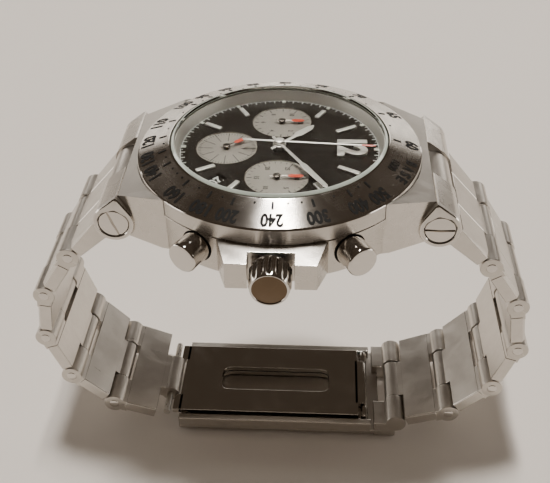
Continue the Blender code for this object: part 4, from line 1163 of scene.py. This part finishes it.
def buildCaseMiddle():
    c = case
    wall = turnedShell(filleted([(c["bore"], c["low"]), (c["radius"] - 0.25, c["low"]),
                                 (c["radius"], c["low"] + 0.25),
                                 (c["radius"], c["high"] - 0.1), (c["radius"] - 0.1, c["high"]),
                                 (c["bore"], c["high"])], 0.05, closed=True), 288)
    pockets = []
    for angle in (pusherTurn, -pusherTurn):
        steps = [(0, 14.5), (0.85, 14.5), (0.85, 18.0), (2.22, 18.0), (2.22, 22.0), (0, 22.0)]
        pockets.append(moved(turnedShell(steps, 64), radialFrame(angle, pusherHeight)))
    tube = turnedShell([(0, 14.5), (1.43, 14.5), (1.43, 22.0), (0, 22.0)], 48)
    pockets.append(moved(tube, radialFrame(0, crownPlace.z)))
    shells = [carved(wall, pockets)]

    inside = turnedShell([(0, 0), (19.7, 0), (19.7, c["high"] - 0.02), (c["bezelRoom"], c["high"] - 0.02),
                          (c["bezelRoom"], 14), (0, 14)], 288)
    room = alongX(turnedShell([(0, -c["tongueRoom"]), (c["tongueRadius"], -c["tongueRoom"]),
                               (c["tongueRadius"], c["tongueRoom"]), (0, c["tongueRoom"])], 96))
    shifted(room, 0, hingeTop.y, hingeTop.z)
    shoulder = loft([(y, slab(half, low, high)) for y, half, low, high in c["shoulders"]])
    shoulder = eased(carved(shoulder, [inside, room]), c["edge"], angle=33, finish=1)
    floor = c["barrelEnd"] - c["headDepth"]
    barrels = [acrossX(teardrop(), *ends) for ends in ((c["tongueRoom"], floor + 0.02),
                                                       (-floor - 0.02, -c["tongueRoom"]))]
    ends = [bossEnd(floor, c["barrelEnd"])]
    ends.append(moved(bossEnd(floor, c["barrelEnd"]), Matrix.Scale(-1, 4, (1, 0, 0))))
    lug = joined([shoulder, *barrels, *ends])
    other = spun(lug.copy(), 180)
    shells += [lug, other]

    guardStations = [(18.0, c["guardRoot"], c["guardLow"] - 0.5, c["high"] - 0.02),
                     (20.0, c["guardSide"], c["guardLow"] - 0.3, c["high"] - 0.02),
                     (c["guardReach"], c["guardFront"], c["guardLow"], c["guardHigh"])]
    guard = spun(loft([(y, slab(half, low, high)) for y, half, low, high in guardStations]), -90)
    ring = turnedShell([(0, 0), (19.7, 0), (19.7, 12), (0, 12)], 288)
    notch = brick((c["notchStart"], -c["notchHalf"], 0), (c["guardReach"] + 1, c["notchHalf"], 12))
    hole = moved(turnedShell([(0, 19), (1.43, 19), (1.43, 22), (0, 22)], 48), radialFrame(0, crownPlace.z))
    shells.append(eased(carved(guard, [ring, notch, hole]), 0.14, angle=33, finish=1))
    piece = finishPiece("caseMiddle", shells, [satinSide, polished, brushedAlong, brightSatin], "case",
                        ["case_middle"], sharp=28)
    for face in piece.data.polygons:
        if face.material_index == 0 and abs(face.center.y) > 13.9 * mm and face.normal.z > 0.8:
            face.material_index = 2
    return piece


buildCaseMiddle()
print("case ready")


# screws and sleeves in the hinge barrels

def buildLugScrews():
    end, radius, depth = case["barrelEnd"], 2.05, 0.32
    seat = end - 0.98
    for side, name, slotTurn in ((1, "12", 90), (-1, "6", 20)):
        for kind, direction in (("screw", 1), ("pin", -1)):
            profile = filleted([(0, seat), (radius, seat), (radius, end - 0.16),
                                (radius - 0.12, end - 0.08),
                                (radius - 0.3, end - 0.08), (0, end + 0.08)], 0.05)
            head = turnedShell(profile, 96)
            slot = brick((-3, -0.17, end - depth), (3, 0.17, end + 1))
            head = carved(head, [spun(slot, slotTurn)])
            shank = turnedShell([(0, 3.9), (0.88, 3.9), (0.88, end - 0.9), (0, end - 0.9)], 48)
            shells = [spun(shell, 90 * direction, "Y") for shell in (head, shank)]
            finishPiece(f"lug{kind.capitalize()}{name}",
                        [shifted(s, 0, side * hingeTop.y, hingeTop.z) for s in shells],
                        [polished], "case", [f"lug_{kind}_{name}"], sharp=25)


buildLugScrews()


# crown and pushers

def buildCrown():
    radius, end = 2.75, boxOf("crown")[1].x
    shell = turnedShell(filleted([
        (0, 20.6), (0.85, 20.6), (0.85, 24.4), (1.9, 24.4), (1.9, 21.9), (radius - 0.25, 21.9),
        (radius, 22.15),
        (radius, 22.5), (radius, 23.0), (radius, 23.6), (radius, 24.1), (radius, 24.6),
        (radius - 0.12, 25.1),
        (radius - 0.32, end - 0.2), (radius - 0.5, end - 0.1), (radius - 0.62, end - 0.3),
        (1.5, end - 0.17), (0.8, end - 0.05),
        (0, end),
    ], 0.1), 320)
    fluted = throughTree(fluteTree, shell,
                         {"Flutes": 16.0, "Depth": 0.36, "Beyond": radius - 0.3, "Low": 21.9,
                                            "High": 25.35, "Fade": 0.4})
    # the end disc inside the rim takes the dark brown steel, a painted dark reflection
    for face in fluted.faces:
        middle = face.calc_center_median()
        face.material_index = 1 if middle.z > end - 0.35 and math.hypot(middle.x,
                                                                        middle.y) < radius - 0.58 else 0
    finishPiece("crownFluted", moved(fluted, radialFrame(0, crownPlace.z)), [polished, paintedDarkReflection],
                "crown",
                ["crown"], sharp=50)


def buildPushers():
    radius = (boxOf("pusher_start")[1].z - boxOf("pusher_start")[0].z) / 2
    reach = 23.3
    for name in ("start", "reset"):
        angle = pusherTurn if name == "start" else -pusherTurn
        place = radialFrame(angle, pusherHeight)
        body = turnedShell(filleted([(0, 14.9), (0.75, 14.9), (0.75, 19.6), (radius, 19.6),
                                     (radius, reach - 0.3),
                                     (radius - 0.12, reach - 0.08), (radius - 0.4, reach), (0, reach)],
                                    0.1, steps=5), 96)
        finishPiece(f"pusher{name.capitalize()}", moved(body, place), [polished], f"{name}_pusher",
                    [f"pusher_{name}"], sharp=60)
        # a thin black ring fills the gap round the pusher where it enters the case, so that the gap reads
        # dark
        gapRing = turnedShell(filleted([(radius + 0.03, 19.1), (radius + 0.17, 19.1), (radius + 0.17, 20.0),
                                       (radius + 0.03, 20.0)], 0.03, closed=True), 96)
        finishPiece(f"pusherCollar{name.capitalize()}", moved(gapRing, place), [enamel], "case")


buildCrown()
buildPushers()
print("crown and pushers ready")


# bracelet

links = {
    "count": 6, "widthTop": 20.4, "widthEnd": 18.3, "thickness": 2.2, "firstThickness": 3.0,
    "knuckle": 1.65,
    "tongue": 1.5, "tongueHalf": 3.9, "firstKnuckle": 2.6, "gap": 0.25, "facet": 0.75, "facetDrop": 0.42,
    "groove": 0.1, "pinHead": 0.78, "edge": 0.09,
}


def hingePlaces(side):
    names = [f"unroll_{side}"] + [f"fold_{side}_{n}" for n in range(2, links["count"] + 1)]
    places = [jointPlace(name) for name in names]
    low, high = boxOf(f"spring_bar_{side}")
    return places + [Vector((0, (low.y + high.y) / 2, (low.z + high.z) / 2))]


def linkSection(half, thick, facet, drop, groove):
    # the plate's section: facets down both long sides, and two fine grooves over the tongue's edges
    g, m = groove, links["tongueHalf"] + 0.1
    right = [(half - 0.12, -thick), (half, -thick + 0.12), (half, thick - drop), (half - facet, thick),
             (m + g, thick), (m, thick - 1.4 * g), (m - g, thick)]
    return right + [(-x, z) for x, z in right[::-1]]


def buildLink(side, number, start, end, topWidth, lowWidth):
    k = links
    length = (end - start).length
    half, thick = k["thickness"] / 2, k["thickness"] / 2
    tongue, inner = k["tongueHalf"], k["tongueHalf"] + 0.2
    plateEnd = length - k["knuckle"] - k["gap"]
    first = number == 1
    plateStart = 3.2 if first else 1.85
    topThick = k["firstThickness"] / 2 if first else half
    halfTop, halfLow = topWidth / 2, lowWidth / 2
    facetTop = 0.25 if first else k["facet"]
    stations = [
        (plateStart, linkSection(halfTop, topThick, facetTop, facetTop * 0.6, k["groove"])),
        (plateEnd, linkSection(halfLow, thick, k["facet"] * (1.9 if first else 1), k["facetDrop"],
                               k["groove"])),
    ]
    shells = [eased(loft(stations), 0.05, steps=1, angle=24, finish=1)]

    def barrel(radius, low, high, y=0.0, rounding=0.16):
        profile = filleted([(0, low), (radius, low), (radius, high), (0, high)], rounding)
        return shifted(alongX(turnedShell(profile, 96)), 0, y, 0)

    arm = thick - 0.05
    if first:
        shells += [eased(brick((-tongue + 0.03, 0, -arm), (tongue - 0.03, plateStart + 0.5, arm)),
                         k["edge"]),
                   barrel(k["firstKnuckle"], -tongue, tongue)]
    else:
        for way in (1, -1):
            low, high = sorted((way * inner, way * (halfTop - 0.05)))
            shells += [eased(brick((low + 0.03, 0, -arm), (high - 0.03, plateStart + 0.4, arm)), k["edge"]),
                       barrel(k["knuckle"], low, high)]
            rim = k["pinHead"]
            head = filleted([(0, -0.1), (rim, -0.1), (rim, 0.06), (rim - 0.1, 0.12), (rim / 2, 0.17),
                             (0, 0.19)], 0.03)
            shells.append(painted(shifted(spun(turnedShell(head, 48), 90 * way, "Y"),
                                          way * (halfTop - 0.1)), 1))
        shells.append(painted(barrel(0.6, -inner - 0.3, inner + 0.3, rounding=0.02), 1))
    shells += [eased(brick((-tongue + 0.03, plateEnd - 0.4, -arm), (tongue - 0.03, length, arm)),
                     k["edge"]),
               barrel(k["tongue"], -tongue, tongue, length)]
    slope = math.atan2(end.z - start.z, abs(end.y) - abs(start.y))
    facing = Matrix.Rotation(math.radians(0 if side == "12" else 180), 4, "Z")
    place = Matrix.Translation(start) @ facing @ Matrix.Rotation(slope, 4, "X")
    finishPiece(f"link{side}n{number}", [moved(s, place) for s in shells], [brushedAlong, polished],
                f"link_{side}_{number}", [f"link_{side}_{number}"], sharp=26)


def buildBracelet():
    k = links
    for side in ("12", "6"):
        places = hingePlaces(side)
        for number, (start, end) in enumerate(zip(places, places[1:]), 1):
            widths = [k["widthTop"] + (k["widthEnd"] - k["widthTop"]) * n / k["count"]
                      for n in (number - 1, number)]
            buildLink(side, number, start, end, *widths)


buildBracelet()
print("bracelet ready")


# folding clasp

clasp = {"bottom": -39.9, "thick": 1.2, "freeEnd": -17.0, "wall": 1.15, "wallHeight": 1.5, "wallEnd": 15.0,
         "armStart": 15.5, "half": 9.15, "inner": 4.1, "bladeHalf": 7.6, "bladeThick": 0.8,
         "knuckleHalf": 5.0}


def rod(radius, low, high, y, z, rounding=0.1):
    profile = filleted([(0, low), (radius, low), (radius, high), (0, high)], rounding)
    return shifted(alongX(turnedShell(profile, 64)), 0, y, z)


def buildClasp():
    c = clasp
    last = hingePlaces("12")[-1]
    top = c["bottom"] + c["thick"]
    hingeOne, hingeTwo = jointPlace("blade_outer_fold"), jointPlace("blade_inner_fold")
    half = c["half"]
    section = [(half - 0.9, c["bottom"]), (half, c["bottom"] + 0.5), (half, top), (-half, top),
               (-half, c["bottom"] + 0.5),
               (-half + 0.9, c["bottom"])]
    shells = [eased(loft([(c["freeEnd"], section), (c["armStart"] + 1, section)]), 0.12, angle=24,
                    finish=1)]

    def between(way, a, b, y0, y1, z0, z1):
        x0, x1 = sorted((way * a, way * b))
        return eased(brick((x0, y0, z0), (x1, y1, z1)), 0.09, finish=1)

    for way in (1, -1):
        shells += [
            between(way, half - c["wall"], half - 0.02, c["freeEnd"] + 0.02, c["wallEnd"], top - 0.3,
                    top + c["wallHeight"]),
            between(way, c["inner"] + 0.03, half - 0.04, c["armStart"], last.y, c["bottom"] + 0.06, last.z),
            between(way, c["knuckleHalf"] + 0.2, half - c["wall"] + 0.2, hingeOne.y - 0.5,
                    hingeOne.y + 0.5, top - 0.3,
                    hingeOne.z + 0.5),
            rod(1.65, *sorted((way * c["inner"], way * half)), last.y, last.z, 0.16),
        ]
    shells.append(painted(rod(0.28, -5.6, 5.6, hingeOne.y, hingeOne.z, 0.02), 1))
    finishPiece("claspCover", shells, [brushedAlong, polished], "clasp_cover",
                ["clasp_cover"], sharp=26)

    blade, knuckle, thick = c["bladeHalf"], c["knuckleHalf"], c["bladeThick"] / 2
    ear = knuckle + 0.2
    window = [(-2.6, -10.5), (2.6, -10.5), (2.6, 8.0), (-2.6, 8.0)]
    hole = filleted(window, 1.6, closed=True, steps=6)
    outline = [(-blade, hingeOne.y + 1.0), (blade, hingeOne.y + 1.0), (blade, hingeTwo.y - 0.7),
               (-blade, hingeTwo.y - 0.7)]
    outer = [eased(plate(outline, hingeOne.z - thick, hingeOne.z + thick, [hole]), 0.07),
             eased(brick((-knuckle, hingeOne.y, hingeOne.z - thick),
                         (knuckle, hingeOne.y + 1.5, hingeOne.z + thick)), 0.05),
             rod(0.5, -knuckle, knuckle, hingeOne.y, hingeOne.z)]
    for way in (1, -1):
        x0, x1 = sorted((way * ear, way * blade))
        outer += [eased(brick((x0, hingeTwo.y - 1.0, hingeOne.z - thick),
                              (x1, hingeTwo.y, hingeOne.z + thick)), 0.05),
                  rod(0.6, x0, x1, hingeTwo.y, hingeTwo.z)]
    outer.append(rod(0.28, -ear - 0.4, ear + 0.4, hingeTwo.y, hingeTwo.z, 0.02))
    finishPiece("claspBladeOuter", outer, [polished], "clasp_blade_outer",
                ["clasp_blade_outer"], sharp=26)

    face = -37.1
    outline = [(-blade, -17.2), (blade, -17.2), (blade, hingeTwo.y - 1.0), (-blade, hingeTwo.y - 1.0)]
    inner = [eased(plate(outline, face - thick, face + thick, [hole]), 0.07),
             eased(brick((-knuckle, hingeTwo.y - 1.5, face - thick), (knuckle, hingeTwo.y, face + thick)),
                   0.05),
             rod(0.5, -knuckle, knuckle, hingeTwo.y, hingeTwo.z)]
    for way in (1, -1):
        x0, x1 = sorted((way * c["inner"], way * blade))
        inner.append(eased(brick((x0, -18.15, face - thick), (x1, -16.7, face + thick)), 0.05))
    finishPiece("claspBladeInner", inner, [polished], "clasp_blade_inner",
                ["clasp_blade_inner"], sharp=26)


buildClasp()
print("clasp ready")


# case back

def buildCaseBack():
    rim, face, top = backHigh.x, 15.6, 2.05
    outline = [(0, 0), (9.6, 0), (9.7, 0.08), (9.9, 0.08), (10.0, 0), (face - 1.9, 0), (face - 1.8, 0.1),
               (face - 1.6, 0.1), (face - 1.5, 0), (face, 0), (rim, 1.5), (rim, top), (15.9, top),
               (15.9, backHigh.z), (15.1, backHigh.z), (15.1, 1.4), (0, 1.4)]
    disc = turnedShell(filleted(outline, 0.05), 288)
    cut = brick((-0.9, 14.6, -1), (0.9, 18.5, 0.55))
    disc = carved(disc, [ringOf(cut, 6)])
    for facet in disc.faces:
        middle = facet.calc_center_median()
        bevelled = middle.z < 1.5 and math.hypot(middle.x, middle.y) > 15.62
        facet.material_index = 1 if bevelled else 0
    finishPiece("caseBackCover", disc, [brushedRound, polished], "case", ["case_back"],
                sharp=24)


buildCaseBack()


# finishes for the parts inside, which keep their own shape

kept = {
    nickelPlate: ["crown_tube", "winding_stem", "pusher_spring_start", "pusher_spring_reset",
                  "movement_ring",
                  "main_plate", "train_bridge", "balance_cock", "escape_wheel", "pallet_fork", "hairspring",
                  "spring_bar_12", "spring_bar_6"],
    brassSatin: ["mainspring_barrel", "centre_wheel", "third_wheel", "fourth_wheel", "balance_wheel",
                 "winding_rotor"],
    polished: ["rotor_bearing"],
    rubber: ["case_back_gasket", "crown_seal"],
}
for finish, names in kept.items():
    for name in names:
        part = frame["nodes"][name]
        part.data.materials.clear()
        part.data.materials.append(finish)


# floor, light and camera

def makeFloor():
    material, tree, shader, place = newMaterial("paleFloor")
    mottle = newNode(tree, "ShaderNodeTexNoise", {"Vector": place, "Scale": 6.0, "Detail": 4.0})
    ground = blendColours(tree, mottle.outputs[0], (0.80, 0.745, 0.69, 1), (0.86, 0.81, 0.755, 1))
    tree.links.new(ground, shader.inputs["Base Color"])
    shader.inputs["Roughness"].default_value = 0.8
    bm = bmesh.new()
    bmesh.ops.create_grid(bm, x_segments=2, y_segments=2, size=1.5)
    floor = helperObject(bm, "floor")
    floor.location.z = cadLow.z - 0.0001
    floor.data.materials.append(material)


def aim(thing, place, target):
    thing.location = place
    thing.rotation_euler = (Vector(target) - Vector(place)).to_track_quat("-Z", "Y").to_euler()


def softLight(name, place, target, width, height, power, tone):
    light = bpy.data.lights.new(name, "AREA")
    light.shape = "RECTANGLE"
    light.size = width
    light.size_y = height
    light.energy = power
    light.color = tone
    lamp = bpy.data.objects.new(name, light)
    bpy.context.scene.collection.objects.link(lamp)
    aim(lamp, place, target)
    lamp.visible_camera = False


def makeLights():
    middle = (0, 0, 0)
    warm = (1.0, 0.94, 0.86)
    softLight("ceiling", (-0.1, 0.01, 0.5), middle, 0.03, 0.09, 1.1, warm)
    softLight("backWall", (-0.7, 0.0, 0.14), middle, 1.0, 0.27, 1.9, warm)
    softLight("leftWall", (-0.1, -0.65, 0.1), middle, 0.7, 0.2, 1.3, warm)
    softLight("rightWall", (-0.1, 0.65, 0.1), middle, 0.7, 0.2, 1.3, warm)
    lamp = bpy.data.lights.new("skylight", "SUN")
    lamp.energy = 1.9
    lamp.angle = math.radians(9)
    lamp.color = (1.0, 0.96, 0.91)
    sky = bpy.data.objects.new("skylight", lamp)
    bpy.context.scene.collection.objects.link(sky)
    aim(sky, (-0.11, -0.02, 0.6), middle)

    # the room is dim to the metal, so that it shows contrast, and pale where the floor ends
    world = bpy.data.worlds.new("room")
    world.use_nodes = True
    tree = world.node_tree
    ground = tree.nodes["Background"]
    seen = newNode(tree, "ShaderNodeLightPath").outputs["Is Camera Ray"]
    tint = blendColours(tree, seen, (0.062, 0.046, 0.033, 1), (0.56, 0.53, 0.49, 1))
    tree.links.new(tint, ground.inputs[0])
    bpy.context.scene.world = world


def makeCamera():
    # looking at the crown side from above, and tilted a degree
    azimuth, elevation, roll = math.radians(93.803), math.radians(37.105), math.radians(-1.047)
    target, distance = Vector((0, -0.881, -6.808)), 135.527
    ahead = Vector((-math.sin(azimuth) * math.cos(elevation), math.cos(azimuth) * math.cos(elevation),
                    -math.sin(elevation)))
    right = ahead.cross(Vector((0, 0, 1))).normalized()
    up = right.cross(ahead)
    side = right * math.cos(roll) + up * math.sin(roll)
    top = up * math.cos(roll) - right * math.sin(roll)
    camera = bpy.data.cameras.new("camera")
    camera.lens = 57.96
    camera.sensor_width = 36
    camera.clip_start = 0.001
    eye = bpy.data.objects.new("camera", camera)
    bpy.context.scene.collection.objects.link(eye)
    turn = Matrix((side, top, -ahead)).transposed().to_4x4()
    eye.matrix_world = Matrix.Translation((target - ahead * distance) * mm) @ turn
    bpy.context.scene.camera = eye


makeFloor()
makeLights()
makeCamera()
print("stage ready")
